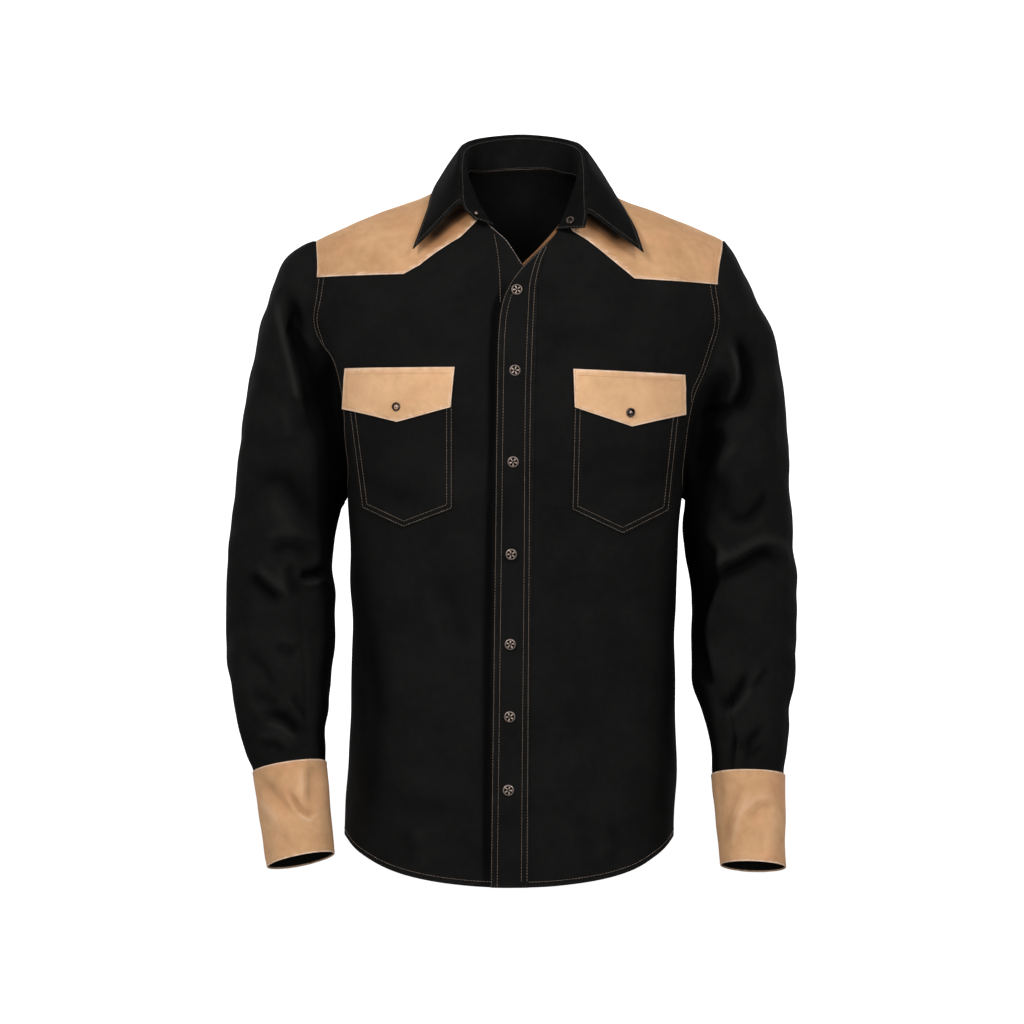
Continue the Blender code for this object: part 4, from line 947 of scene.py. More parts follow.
def shell(node, sheet, cloth, tone=0.0, wear=1.0):
    """The cloth of one sewn piece, in place of its CAD node. Its edge is rounded."""
    count = len(sheet.points)
    rim = rim_of(sheet.faces)
    ways = unit(sheet.points[rim[:, 1]] - sheet.points[rim[:, 0]])
    outward = np.zeros((count, 3))
    for end in (0, 1):
        np.add.at(outward, rim[:, end], np.cross(ways, sheet.normals[rim[:, end]]))
    outward = unit(outward)
    on_rim = np.unique(rim)
    faced = sheet.points - ROUNDING * outward
    outer, inner = faced, faced - sheet.normals * WALL
    middle = (sheet.points - sheet.normals * WALL / 2)[on_rim]
    ring = np.zeros(count, int)
    ring[on_rim] = 2 * count + np.arange(len(on_rim))
    faces = sheet.faces + [[i + count for i in reversed(face)] for face in sheet.faces]
    for a, b in rim.tolist():
        faces.append([b, a, int(ring[a]), int(ring[b])])
        faces.append([int(ring[b]), int(ring[a]), a + count, b + count])
    slot, material = cloth
    points = np.vstack([outer, inner, middle])
    mesh = add_piece(f"{node}_cloth", points, faces, material, [node])
    flat = np.vstack([sheet.flat, sheet.flat, sheet.flat[on_rim]])
    corners = np.concatenate(faces)
    across = flat[corners, 0]
    if sheet.turn:
        sizes = [len(face) for face in faces]
        highest = np.repeat(np.maximum.reduceat(across, np.cumsum([0, *sizes[:-1]])), sizes)
        across = np.where(highest - across > sheet.turn / 2, across + sheet.turn, across)
    layer = mesh.uv_layers.new(name="cloth")
    layer.data.foreach_set("uv", np.column_stack([across, flat[corners, 1]]).ravel() / FLAT_UNIT)
    distance = rim_distance(sheet.points, rim)
    distance = np.concatenate([distance, distance, distance[on_rim]])
    # crease depth and painted shade, from which the cloth's material paints shade and highlight into its
    # colour
    add_attribute(mesh, "fold", flat[:, 2])
    add_attribute(mesh, "tone", np.full(len(points), tone))
    add_attribute(mesh, "edge", wear * np.exp(-((distance / EDGE_WEAR) ** 2)))
    add_attribute(mesh, "seam", np.exp(-((distance / SEAM_PUCKER) ** 2)))
    normals = np.vstack([sheet.normals, -sheet.normals, outward[on_rim]])
    mesh.normals_split_custom_set_from_vertices(normals.tolist())


# ---------------------------------------------------------------- stitching


THREADS = {}  # name of a group of stitches: their middles, directions and normals


def read_off(at, arc, rows):
    """The rows' values at distances along a line, whose points lie at the distances in arc."""
    return np.column_stack([np.interp(at, arc, column) for column in np.asarray(rows, float).T])


def evenly(length, pitch):
    """Distances along a line, this far apart."""
    at = np.linspace(0, length, int(length / pitch) + 1)
    return (at[1:] + at[:-1]) / 2


def sew(group, points, normals):
    """A row of stitches along a line of points on the cloth."""
    arc = arc_lengths(np.asarray(points, float))
    at = evenly(arc[-1], STITCH_PITCH)
    if len(at):
        way = read_off(at + WAY_STEP, arc, points) - read_off(at - WAY_STEP, arc, points)
        THREADS.setdefault(group, []).append(
            (read_off(at, arc, points), unit(way), unit(read_off(at, arc, normals)))
        )


def sew_seen(group, sheet, path, smooth_line=False, from_back=False):
    """A row of stitches along a line seen from the front or back, as (x, height) points."""
    line = curve_through(path, LINE_STEPS) if smooth_line else np.array(path, float)
    arc = arc_lengths(line)
    places = read_off(evenly(arc[-1], SEEN_STEP), arc, line)
    start, way = (FAR, -1.0) if from_back else (-FAR, 1.0)
    run = []
    for x, z in [*places.tolist(), OFF_THE_CLOTH]:
        hit = sheet.hit((x, start, z), (0.0, way, 0.0))
        if hit is not None:
            run.append(hit)
            continue
        if len(run) > SHORTEST_RUN:
            sew(group, *zip(*run))
        run = []


def edge_line(grid, offset, first=0):
    """(points, normals) along a grid's first row, this far inside it."""
    arc = arc_lengths(grid.points)
    offset = np.broadcast_to(offset, arc.shape[1])
    columns = range(first, arc.shape[1])
    points, normals = (
        np.vstack([read_off(offset[j : j + 1], arc[:, j], part[:, j]) for j in columns])
        for part in (grid.points, grid.normals)
    )
    return points, unit(normals)


def turned_grid(grid, edge):
    """The grid seen so that the named edge is its first row."""
    views = {
        "bottom": lambda a: a,
        "top": lambda a: a[::-1],
        "left": lambda a: a.swapaxes(0, 1),
        "right": lambda a: a[:, ::-1].swapaxes(0, 1),
    }
    return Grid(views[edge](grid.points), views[edge](grid.normals), flat=views[edge](grid.flat))


def inset_line(path, distance):
    """An open line of (x, z) points moved to its left."""
    path = np.array(path, float)
    way = unit(np.diff(path, axis=0))
    side = np.column_stack([-way[:, 1], way[:, 0]])
    corner = unit(side[:-1] + side[1:])
    corner = corner * distance / (corner * side[1:]).sum(axis=1)[:, None]
    return path + np.vstack([side[:1] * distance, corner, side[-1:] * distance])


def add_stitches(threads):
    """One mesh for each group of stitches, each stitch a short rounded thread half sunk in the cloth.

    threads holds the first words of the groups' names and the thread they are sewn with."""
    along, size, sunk = (column[:, None] for column in np.array(STITCH_PROFILE).T)
    around = np.arange(STITCH_SIDES) * 2 * math.pi / STITCH_SIDES
    length = (along * STITCH_LENGTH / 2 + 0 * around).reshape(-1, 1)
    across = (np.cos(around) * size * STITCH_RADIUS).reshape(-1, 1)
    rise = ((np.sin(around) * size + sunk) * STITCH_RADIUS).reshape(-1, 1)
    faces = turned_faces(len(STITCH_PROFILE), STITCH_SIDES)
    for group, rows in THREADS.items():
        place, way, up = (np.vstack(part) for part in zip(*rows))
        up = unit(up - way * (up * way).sum(-1, keepdims=True))
        side = np.cross(up, way)
        points = length * way[:, None] + across * side[:, None] + (rise + STITCH_SEAT) * up[:, None]
        points = (place[:, None] + points).reshape(-1, 3)
        joined = [[start + i for i in face] for start in range(0, len(points), len(length)) for face in faces]
        material = next(material for starts, material in threads if group.startswith(starts))
        add_piece(group, points, joined, material)


# ---------------------------------------------------------------- sleeves and cuffs


def section(row, angles, inset=0.0):
    """Points round one ring of a sleeve or cuff. The angle is 0 outside the arm and 90 degrees in front."""
    outer_x, outer_z, inner_x, inner_z, half_depth, centre_y, tilt = row[:7]
    outer, inner = np.array([outer_x, centre_y, outer_z]), np.array([inner_x, centre_y, inner_z])
    half = np.linalg.norm(outer - inner) / 2 - inset
    forward = np.array([0.0, -math.cos(math.radians(tilt)), math.sin(math.radians(tilt))])
    across = np.cos(angles)[:, None] * half * unit(outer - inner)
    return (outer + inner) / 2 + across + np.sin(angles)[:, None] * (half_depth - inset) * forward


def ring_angles(places, row):
    """The angle of each place, seen from the middle of a ring."""
    centre = section(row, np.array([0.0, math.pi])).mean(axis=0)
    outward = section(row, np.array([0.0]))[0] - centre
    forward = section(row, np.array([math.pi / 2]))[0] - centre
    rel = places - centre
    angles = np.arctan2(rel @ forward / (forward @ forward), rel @ outward / (outward @ outward))
    return np.unwrap(angles)


def ring_normals(points, closed, wearers_right):
    """Outward normals of a grid of rings whose columns run over the front from the outer side."""
    along = np.gradient(points, axis=0)
    if closed:
        around = np.roll(points, -1, axis=1) - np.roll(points, 1, axis=1)
    else:
        around = np.gradient(points, axis=1)
    normals = unit(np.cross(around, along))
    return -normals if wearers_right else normals


def armhole_loop(front, back, column):
    """The armhole from the shoulder seam down the front to the armpit and up the back.

    Each of its rows holds a point, the panel's normal there and the way from there into the panel."""
    inner = 1 if column == 0 else column - 1
    parts = []
    for grid, rows in ((front, slice(ARMPIT, None)), (back, slice(ARMPIT + 1, -1))):
        edge = grid.points[rows, column]
        parts.append(np.hstack([edge, grid.normals[rows, column], unit(grid.points[rows, inner] - edge)]))
    down, up = parts[0][::-1], parts[1]
    loop = np.vstack([down, up, down[:1]])
    arc = arc_lengths(loop[:, :3])
    at = np.linspace(0, arc[-1], SLEEVE_COLUMNS, endpoint=False)
    return read_off(at, arc, loop)


def cuff_rings(cuff, angles, shares, inset):
    """Rings of the cuff at shares of its height; inset is a number, or one for each ring."""
    top, bottom = np.array(cuff[0]), np.array(cuff[1])
    insets = np.broadcast_to(inset, len(shares))
    return np.stack([section(top + (bottom - top) * t, angles, i) for t, i in zip(shares, insets)])


def sleeve_rings(loop, table, cuff):
    """Rings from the armhole to inside the cuff. The first keep some of the armhole's shape."""
    highest, lowest = loop[np.argmax(loop[:, 2])], loop[np.argmin(loop[:, 2])]
    armhole = (highest[0], highest[2], lowest[0], lowest[2], *ARMHOLE_RING, 1.0, 0.0)
    angles = ring_angles(loop, armhole)
    shape = loop - section(armhole, angles)
    top, bottom = np.array(cuff[0]), np.array(cuff[1])
    tucked = [(*(top + (bottom - top) * t), 0.0, LAYER) for t in SLEEVE_TUCK]
    rows = [armhole, *((*row, 0.0) for row in table), *tucked]
    numbered = [(number, *row) for number, row in enumerate(rows)]
    stops = list(enumerate((*SLEEVE_STEPS, 0)))
    fine = np.stack(between(numbered, stepped(stops)), -1)
    rings = np.stack([section(row, angles, row[8]) + shape * row[7] for row in fine])
    return rings, angles


def sleeve_grid(side, armhole, table, cuff, creases):
    """The sleeve's grid and the angle of each of its columns. Its first two rings lie under the panels."""
    wearers_right = side == "right"
    loop, above, into_panel = armhole[:, :3], armhole[:, 3:6], armhole[:, 6:]
    rings, angles = sleeve_rings(loop, table, cuff)
    normals = ring_normals(rings, True, wearers_right)
    share = np.linspace(0, 1, len(rings))[:, None]
    free = smooth(share / SLEEVE_ENDS) * smooth((1 - share) / SLEEVE_ENDS)
    head = SLEEVE_HEAD * smooth(2 * above[:, 2]) * np.exp(-share * SLEEVE_HEAD_FADE)
    shaped = rings + normals * (swelling(rings, SLEEVE_SWELLS) * free)[..., None]
    creased, depth = folded(shaped, normals, *creases, SLEEVE_CREASE_SCALE)
    shaped = rings + (creased - rings) * free[..., None] + normals * head[..., None]
    ease = above * SLEEVE_EASE[0] - into_panel * SLEEVE_EASE[1]
    shaped[0] = loop - above * LAYER + ease * head[0][:, None]
    tucked = loop + into_panel * SEAM_ALLOWANCE - above * LAYER
    shaped = np.concatenate([tucked[None], shaped])
    # Painted shade on the arm's inner side, where it faces the body, and along the sleeve's shade paths
    inward = np.degrees(np.abs(angles % (2 * math.pi) - math.pi))
    reach = between(INNER_SHADE, rings.mean(axis=1)[:, 2])[:, None]
    painted_shade = INNER_SHADE_DEPTH * smooth((reach - inward) / INNER_SHADE_FADE)
    painted_shade = painted_shade + shade_depth(rings, SLEEVE_SHADES)
    depth = np.concatenate([np.zeros((1, SLEEVE_COLUMNS)), depth * free + painted_shade])
    arc = arc_lengths(np.concatenate([shaped, shaped[:, :1]], axis=1), axis=1)
    width = arc[:, -1].mean()
    across = np.linspace(0, width, SLEEVE_COLUMNS, endpoint=False)
    down = arc_lengths(shaped.mean(axis=1))
    flat = np.stack(np.broadcast_arrays(across, -down[:, None], depth), -1)
    return Grid(shaped, ring_normals(shaped, True, wearers_right), flat=flat), angles, width


def outer_side(creases, cuff, wearers_right):
    """Creases of a cuff in their places: x there counts from the middle towards the outer side."""
    middle = np.mean([row[0] + row[2] for row in cuff]) / 2
    way = -1 if wearers_right else 1
    placed = []
    for path, left, right, deep in creases:
        sides = (right, left) if wearers_right else (left, right)
        placed.append((tuple((middle + way * x, z) for x, z in path), *sides, deep))
    return placed


def joined(table, more):
    """The rows of two tables side by side."""
    return tuple((*row, *rest) for row, rest in zip(table, more))


def cuff_start(side, cuff):
    """The angle at which the cuff's cloth starts, so that its snaps lie on its lap, and the lap's angle."""
    snaps = np.stack([cap_place(f"snap_cuff_{side}_{number}")[0] for number in (1, 2)])
    middle_row = (np.array(cuff[0]) + np.array(cuff[1])) / 2
    lap_middle = ring_angles(snaps, middle_row).mean() % (2 * math.pi)
    lap = LAP_WIDTH / cuff_radius(cuff)
    return lap_middle - lap / 2, lap


def cuff_radius(cuff):
    return (cuff[0][4] + cuff[1][4]) / 2


def add_cuff(side, cuff, creases, start, lap, tan):
    """The cuff, once round the wrist and lapped over its own start, with its stitching."""
    wearers_right = side == "right"
    at = np.linspace(start, start + 2 * math.pi + lap, CUFF_COLUMNS)
    shares = np.linspace(0, 1, CUFF_RINGS)
    rings, raised = cuff_rings(cuff, at, shares, 0.0), cuff_rings(cuff, at, shares, -LAYER)
    rise = smooth((at - start - 2 * math.pi) * cuff_radius(cuff) / LAP_RAMP + 1)
    points = rings + (raised - rings) * rise[:, None]
    normals = ring_normals(points, False, wearers_right)
    free = smooth(shares / CUFF_ENDS[0])[:, None] * smooth((1 - shares) / CUFF_ENDS[1])[:, None]
    points = points + normals * (swelling(points, CUFF_SWELLS) * free)[..., None]
    points, depth = folded(points, normals, *creases)
    grid = Grid(points, ring_normals(points, False, wearers_right), depth)
    shell(f"cuff_{side}", grid_sheet(grid, wearers_right), tan, tone=CUFF_TONE)
    for edge in ("bottom", "top", "right"):
        sew("stitching_cuffs", *edge_line(turned_grid(grid, edge), CUFF_STITCH))


def add_lining(side, cuff, creases, start, black):
    """The cuff's lining, which follows the cuff's creases inside it."""
    wearers_right = side == "right"
    rows = np.linspace(*LINING_ROWS, CUFF_RINGS)
    inset = np.interp(rows, LINING_INSET_ROWS, (LINING_DEPTH, LAYER))
    at = np.linspace(start, start + 2 * math.pi, LINING_COLUMNS)
    points = cuff_rings(cuff, at, rows, inset + LINING_ROOM)
    normals = ring_normals(points, False, wearers_right)
    swell = np.minimum(swelling(points, LINING_SWELLS), 0.0) * smooth((1 - rows) / CUFF_ENDS[1])[:, None]
    points, _ = folded(points + normals * swell[..., None], normals, *creases)
    lining = Grid(points, ring_normals(points, False, wearers_right))
    shell(f"cuff_lining_{side}", grid_sheet(lining, wearers_right), black)


def add_sleeve_placket(side, sleeve, angles, start, lap, black):
    """The strip over the sleeve's slit, in line with the cuff's lap."""
    first, last = (sum(SLEEVE_STEPS[:ring]) + 1 for ring in SLIT_RINGS)
    last += SLIT_EXTRA
    offset = (angles - start) % (2 * math.pi)
    columns = np.flatnonzero(offset < lap)
    columns = columns[np.argsort(offset[columns])]
    part = np.ix_(np.arange(first, last + 1), columns)
    strip = Grid(sleeve.points[part], sleeve.normals[part], sleeve.flat[part][..., 2])
    wearers_right = side == "right"
    shell(f"sleeve_placket_{side}", grid_sheet(strip, wearers_right).raised(LAYER), black)
    raised = Grid(strip.points + strip.normals * LAYER, strip.normals)
    for edge in ("left", "right", "bottom"):
        sew("stitching_sleeves", *edge_line(turned_grid(raised, edge), EDGE_STITCH))


def add_sleeve_and_cuff(side, front, back, arm, cloths):
    """A sleeve, its cuff, the cuff's lining and the sleeve's placket."""
    wearers_right = side == "right"
    black, tan = cloths
    table, cuff, creases, cuff_front = arm
    armhole = armhole_loop(front, back, 0 if wearers_right else -1)
    sleeve, angles, width = sleeve_grid(side, armhole, table, cuff, creases)
    shell(f"sleeve_{side}", grid_sheet(sleeve, wearers_right, width), black)
    start, lap = cuff_start(side, cuff)
    cuff_creases = (cuff_front, outer_side(CUFF_BACK, cuff, wearers_right))
    add_cuff(side, cuff, cuff_creases, start, lap, tan)
    add_lining(side, cuff, cuff_creases, start, black)
    add_sleeve_placket(side, sleeve, angles, start, lap, black)


# ---------------------------------------------------------------- collar


def bezier(ends, t):
    """Points of a Bezier curve through arrays of control points."""
    order = len(ends) - 1
    return sum(math.comb(order, i) * (1 - t) ** (order - i) * t**i * p for i, p in enumerate(ends))


def neck_seam(right, left, back):
    """(points, normals) along the neck seam, from the wearer's right end round the back to the left end."""
    end = sum(steps for row, steps in FRONT_ROWS if row < NECK_END)
    outer, middle, _ = BACK_COLUMNS
    across = slice(outer + 1, outer + middle)
    return (
        np.vstack([right.points[end:, -1], back.points[-1, across], left.points[end:, 0][::-1]]),
        np.vstack([right.normals[end:, -1], back.normals[-1, across], left.normals[end:, 0][::-1]]),
    )


def add_collar(right, left, back, black):
    """The stand rises from the neck seam, and the leaf folds over it."""
    seam, outward = neck_seam(right, left, back)
    arc = arc_lengths(seam)
    place = arc - arc[np.argmax(seam[:, 1])]
    ends = np.where(place < 0, COLLAR[0][0] / place[0], COLLAR[-1][0] / place[-1])
    place = place * ends
    columns = between(COLLAR, place)
    top, edge = columns[:3].T, columns[3:].T
    rise = unit(np.cross(unit(np.gradient(seam, axis=0)), outward))
    rows = np.linspace(0, 1, STAND_ROWS)
    stand = np.stack([bezier((seam + GAP * rise, seam + STAND_ROOT * rise, top), t) for t in rows])
    stand_normals = -grid_normals(stand)
    shell("collar_stand", grid_sheet(Grid(stand, stand_normals), True), black, tone=COLLAR_TONE)

    out = stand_normals[-1]
    climb = unit(stand[-1] - stand[-2])
    above, outside = LEAF_CROWN
    root = top - WALL * out + GAP * climb
    leaf = [root, root + LEAF_RISE * climb, top + above * climb + outside * out, edge]
    rows = np.linspace(0, 1, LEAF_ROWS) ** LEAF_CROWDING
    on_leaf = (place > LEAF_ENDS[0]) & (place < LEAF_ENDS[1])
    points = np.stack([bezier(leaf, t) for t in rows])[:, on_leaf]
    sag = swelling(points, LEAF_SWELLS) * smooth(rows / LEAF_FREE)[:, None]
    points = points + grid_normals(points) * sag[..., None]
    leaf_grid = Grid(points, grid_normals(points))
    shell("collar_leaf", grid_sheet(leaf_grid), black, tone=COLLAR_TONE)

    inner = Grid(stand - stand_normals * WALL, -stand_normals)
    for grid, edge_name, distance in (
        (leaf_grid, "top", COLLAR_STITCH),
        (leaf_grid, "left", COLLAR_STITCH),
        (leaf_grid, "right", COLLAR_STITCH),
        (inner, "bottom", EDGE_STITCH),
        (inner, "top", COLLAR_BAND_STITCH),
        (inner, "left", EDGE_STITCH),
        (inner, "right", EDGE_STITCH),
    ):
        sew("stitching_collar", *edge_line(turned_grid(grid, edge_name), distance))


# ---------------------------------------------------------------- pieces on the panels


def outline_above(edge):
    """A closed outline from an open edge, up to a height above everything."""
    return [(edge[0][0], ABOVE_ALL), *edge, (edge[-1][0], ABOVE_ALL)]


def add_overlay(node, panel, outline, cloth, tone=0.0):
    """A piece that lies on a panel; returns its sheet."""
    sheet = cut_sheet(panel, outline).raised(LAYER)
    shell(node, sheet, cloth, tone=tone)
    return sheet


def add_pocket(side, panel, pocket, flap, cloths):
    """A patch pocket and its flap, with their stitching."""
    black, tan = cloths
    sheet = add_overlay(f"pocket_{side}", panel, list(pocket), black)
    for distance in (EDGE_STITCH, SECOND_STITCH):
        sew_seen(f"stitching_front_{side}", sheet, inset_line(pocket, distance))
    (left, left_z), (right, right_z) = flap[0], flap[-1]
    sheet = cut_sheet(panel, list(flap))
    slope = (right_z - left_z) / (right - left)
    below = left_z + slope * (sheet.points[:, 0] - left) - sheet.points[:, 2]
    aside = np.abs(sheet.points[:, 0] - (left + right) / 2) / (right - left)
    curl = FLAP_CURL * smooth((below - FLAP_BEND) / FLAP_CURL_LENGTH) * (CURL_MIDDLE + aside**2 * CURL_SIDES)
    sheet = sheet.raised(LAYER * (1 + smooth(below / FLAP_BEND)) + curl)
    shell(f"flap_{side}", sheet, tan, tone=FLAP_TONE)
    sew_seen(f"stitching_flap_{side}", sheet, inset_line(flap, FLAP_STITCH))
    top = ((left + TOP_STITCH_END, left_z - SECOND_STITCH), (right - TOP_STITCH_END, right_z - SECOND_STITCH))
    sew_seen(f"stitching_flap_{side}", sheet, top)


def add_facing(tan):
    """The tan strip inside the wearer's left neck edge, of which a sliver shows."""
    rows = np.linspace(EDGES_CROSS, FACING_END, FACING_ROWS)
    edge = meet(rows, EDGE_LEFT)
    shown = np.minimum(meet(rows, FACING_EDGE), edge - FACING_LEAST)
    u = shown[:, None] + (edge + FACING_TUCK - shown)[:, None] * np.linspace(0, 1, FACING_COLUMNS)
    grid = panel_grid(u, rows[:, None], False)
    # Painted shade over the whole facing, for the shadow inside the neck
    grid.flat[..., 2] = FACING_SHADE
    shell("placket_facing", grid_sheet(grid).raised(-WALL - 2 * GAP), tan, tone=FACING_TONE, wear=0.0)


def add_fronts_and_back(black):
    """The fronts and the back with the stitching of their edges; returns their grids and sheets."""
    right, left, back = front_grid(True), front_grid(False), back_grid()
    sheets = (
        grid_sheet(trimmed(right, "top left")),
        grid_sheet(trimmed(left, "top right")),
        grid_sheet(trimmed(back, "top left right"), True),
    )
    for node, sheet in zip(("front_right", "front_left", "back_panel"), sheets):
        shell(node, sheet, black)
    for name, grid, edges, first in (
        ("front_right", right, ("left",), ARMPIT),
        ("front_left", left, ("right",), ARMPIT),
        ("back", back, ("left", "right"), ARMPIT + 2),
    ):
        group = f"stitching_{name}"
        sew(group, *edge_line(grid, HEM_STITCH))
        for edge in edges:
            side = turned_grid(grid, edge)
            outer, inner = ARMHOLE_STITCHES
            sew(group, *edge_line(side, outer, first))
            spread = smooth((side.points[0, :, 2] - INNER_STITCH_ENDS[name]) / INNER_STITCH_RAMP)
            offset = outer + (inner - outer) * spread
            points, normals = edge_line(side, offset, first)
            double = offset[first:] > outer + 1.0
            sew(group, points[double], normals[double])
    return (right, left, back), sheets


def add_placket(front_left, black):
    """The band down the wearer's left front, with its stitching."""
    low, high = (PLACKET_OUTSIDE, HEM_BOTTOM), (PLACKET_OUTSIDE, PLACKET_SIDE[-1][1])
    sheet = add_overlay("placket", front_left, [low, *PLACKET_SIDE, high], black)
    for line in PLACKET_STITCHES:
        sew_seen("stitching_placket", sheet, line, smooth_line=True)
    for distance, top in EDGE_STITCHES_LEFT:
        edge = [(x, z) for z, x in EDGE_LEFT if z < top]
        sew_seen("stitching_placket", sheet, inset_line(edge, -distance), smooth_line=True)


def add_neck_stitches(front_right):
    """The stitching at the neck of the wearer's right front, whose edge shows there."""
    edge = [(x, z) for z, x in EDGE_RIGHT if z > NECK_STITCH_LOW]
    sew_seen("stitching_neck", front_right, inset_line(edge, EDGE_STITCHES_LEFT[0][0]), smooth_line=True)
    sew_seen("stitching_front_right", front_right, NECK_STITCH_RIGHT, smooth_line=True)


def add_yokes(front_right, front_left, back_panel, tan):
    """The tan yokes, with a row of stitches along their lower edges."""
    for node, panel, edge in (
        ("front_yoke_right", front_right, YOKE_RIGHT_EDGE),
        ("front_yoke_left", front_left, YOKE_LEFT_EDGE),
        ("back_yoke", back_panel, BACK_YOKE_EDGE),
    ):
        sheet = add_overlay(node, panel, outline_above(edge), tan, YOKE_TONE)
        for yoke, path in YOKE_STITCHES:
            if yoke == node:
                sew_seen("stitching_yokes", sheet, path, smooth_line=True)
        line = inset_line(edge, YOKE_STITCH)
        sew_seen("stitching_yokes", sheet, line, from_back=node == "back_yoke")


# ---------------------------------------------------------------- snaps


def cap_place(node):
    """(middle of the base, axis, radius, height) of a snap's CAD solid, in millimetres."""
    points = np.array([v.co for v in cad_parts[node].data.vertices], float) / MM
    points = np.unique(points.round(3), axis=0)
    middle = points.mean(axis=0)
    axis = np.linalg.svd(points - middle)[2][-1]
    along = (points - middle) @ axis
    radial = np.linalg.norm(points - middle - along[:, None] * axis, axis=1)
    if radial[along > np.median(along)].mean() > radial[along < np.median(along)].mean():
        axis, along = -axis, -along
    return middle + axis * along.min(), axis, radial.max(), along.max() - along.min()


def turned_cap(node, profile, pitted, copper):
    """A snap's cap or ring, turned from a profile of (radius, height, darkness) shares of its CAD solid."""
    base, axis, radius, height = cap_place(node)
    turns = np.arange(CAP_SIDES) * 2 * math.pi / CAP_SIDES
    turned = base[2] / TURN_PER_HEIGHT
    rings, darkness = [], []
    for share, level, dark in profile:
        x, y = share * radius * np.cos(turns), share * radius * np.sin(turns)
        z = np.full(CAP_SIDES, level * height)
        tone = np.full(CAP_SIDES, dark)
        if pitted and share < PIT_RING + 2 * PIT_WIDTH:
            lobes = smooth(PIT_LENGTH + np.cos(PITS * turns + turned))
            pit = lobes * math.exp(-(((share - PIT_RING) / PIT_WIDTH) ** 2))
            pit = pit + MIDDLE_PIT * math.exp(-((share / MIDDLE_PIT_WIDTH) ** 2))
            z = z - PIT_DEPTH * pit
            tone = tone + PIT_DARKNESS * smooth(pit * PIT_SPREAD)
        rings.append(np.column_stack([x, y, z]))
        darkness.append(tone)
    turn = Vector((0, 0, 1)).rotation_difference(Vector(axis)).to_matrix()
    points = np.vstack(rings) @ np.array(turn).T + base
    faces = turned_faces(len(rings), CAP_SIDES)
    mesh = add_piece(f"cap_{node}", points, faces, copper, [node])
    add_attribute(mesh, "dark", np.concatenate(darkness))
    mesh.set_sharp_from_angle(angle=math.radians(CAP_SHARP))


def dome(count, outer, rim, middle):
    """The inner part of a cap's profile: this many rings from its rim's foot up a low dome to its middle."""
    shares = np.linspace(outer, DOME_END, count)
    return tuple((s, rim + (middle - rim) * (1 - (s / outer) ** 2), DOME_DARKNESS) for s in shares)


def add_snaps(copper):
    """The pitted caps of the front and the cuffs, the flaps' plain ones, and the open snap of the neck."""
    pitted = CAP_RIM + dome(15, 0.66, 0.74, 0.88)
    plain = RING + RING_HOLLOW + dome(5, 0.32, 0.62, 0.8)
    for node in sorted(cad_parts):
        if node.startswith(("snap_front", "snap_cuff")):
            turned_cap(node, pitted, True, copper)
        elif node.startswith("snap_flap"):
            turned_cap(node, plain, False, copper)
        elif node == "neck_socket":
            turned_cap(node, RING + SOCKET_HOLLOW, False, copper)
        elif node == "neck_stud":
            turned_cap(node, STUD, False, copper)


# ---------------------------------------------------------------- materials


class Shading:
    """A material whose nodes are added one by one. Its shader is a Principled BSDF."""

    def __init__(self, name, **sockets):
        self.material = bpy.data.materials.new(name)
        self.material.use_nodes = True
        self.tree = self.material.node_tree
        self.shader = self.tree.nodes["Principled BSDF"]
        for socket, value in sockets.items():
            self.shader.inputs[socket.replace("_", " ")].default_value = value

    def add(self, kind, inputs=(), **settings):
        """A node; inputs are pairs of a socket and a value or another node's output."""
        made = self.tree.nodes.new(kind)
        for key, value in settings.items():
            setattr(made, key, value)
        for socket, value in dict(inputs).items():
            if isinstance(value, bpy.types.NodeSocket):
                self.tree.links.new(value, made.inputs[socket])
            else:
                made.inputs[socket].default_value = value
        return made

    def total(self, *values):
        """The sum of some values or nodes' outputs."""
        first, *others = values
        for other in others:
            first = self.add("ShaderNodeMath", {0: first, 1: other}, operation="ADD").outputs[0]
        return first

    def times(self, a, b):
        return self.add("ShaderNodeMath", {0: a, 1: b}, operation="MULTIPLY").outputs[0]

    def attribute(self, name):
        return self.add("ShaderNodeAttribute", attribute_name=name).outputs["Fac"]

    def solid(self):
        """Places in the object, in metres."""
        return self.add("ShaderNodeTexCoord").outputs["Object"]

    def bump(self, height, distance):
        self.link(self.add("ShaderNodeBump", {"Height": height, "Distance": distance}).outputs[0], "Normal")

    def ranged(self, value, low, high, to_low=0.0, to_high=1.0):
        inputs = {"Value": value, "From Min": low, "From Max": high, "To Min": to_low, "To Max": to_high}
        return self.add("ShaderNodeMapRange", inputs).outputs[0]

    def noise(self, place, size, detail=2.0, roughness=0.5):
        """Noise whose features are about this many units of the place long."""
        inputs = {"Vector": place, "Scale": 1 / size, "Detail": detail, "Roughness": roughness}
        return self.add("ShaderNodeTexNoise", inputs).outputs[0]

    def mixed(self, share, a, b):
        """A colour between two colours."""
        return self.add("ShaderNodeMix", {0: share, 6: a, 7: b}, data_type="RGBA").outputs[2]

    def link(self, output, socket):
        self.tree.links.new(output, self.shader.inputs[socket])


def bands(shading, place, pitch, angle):
    """Straight ribs across the flat cloth, from 0 to 1: their pitch in millimetres, and angle in degrees."""
    turned = (0, 0, math.radians(angle))
    mapping = shading.add("ShaderNodeMapping", {"Vector": place, "Rotation": turned})
    scale = 2 * math.pi / 20 / (pitch / FLAT_UNIT)
    inputs = {"Vector": mapping.outputs[0], "Scale": scale, "Distortion": RIB_WAVER, "Detail Scale": 2.0}
    return shading.add("ShaderNodeTexWave", inputs, bands_direction="X").outputs["Fac"]


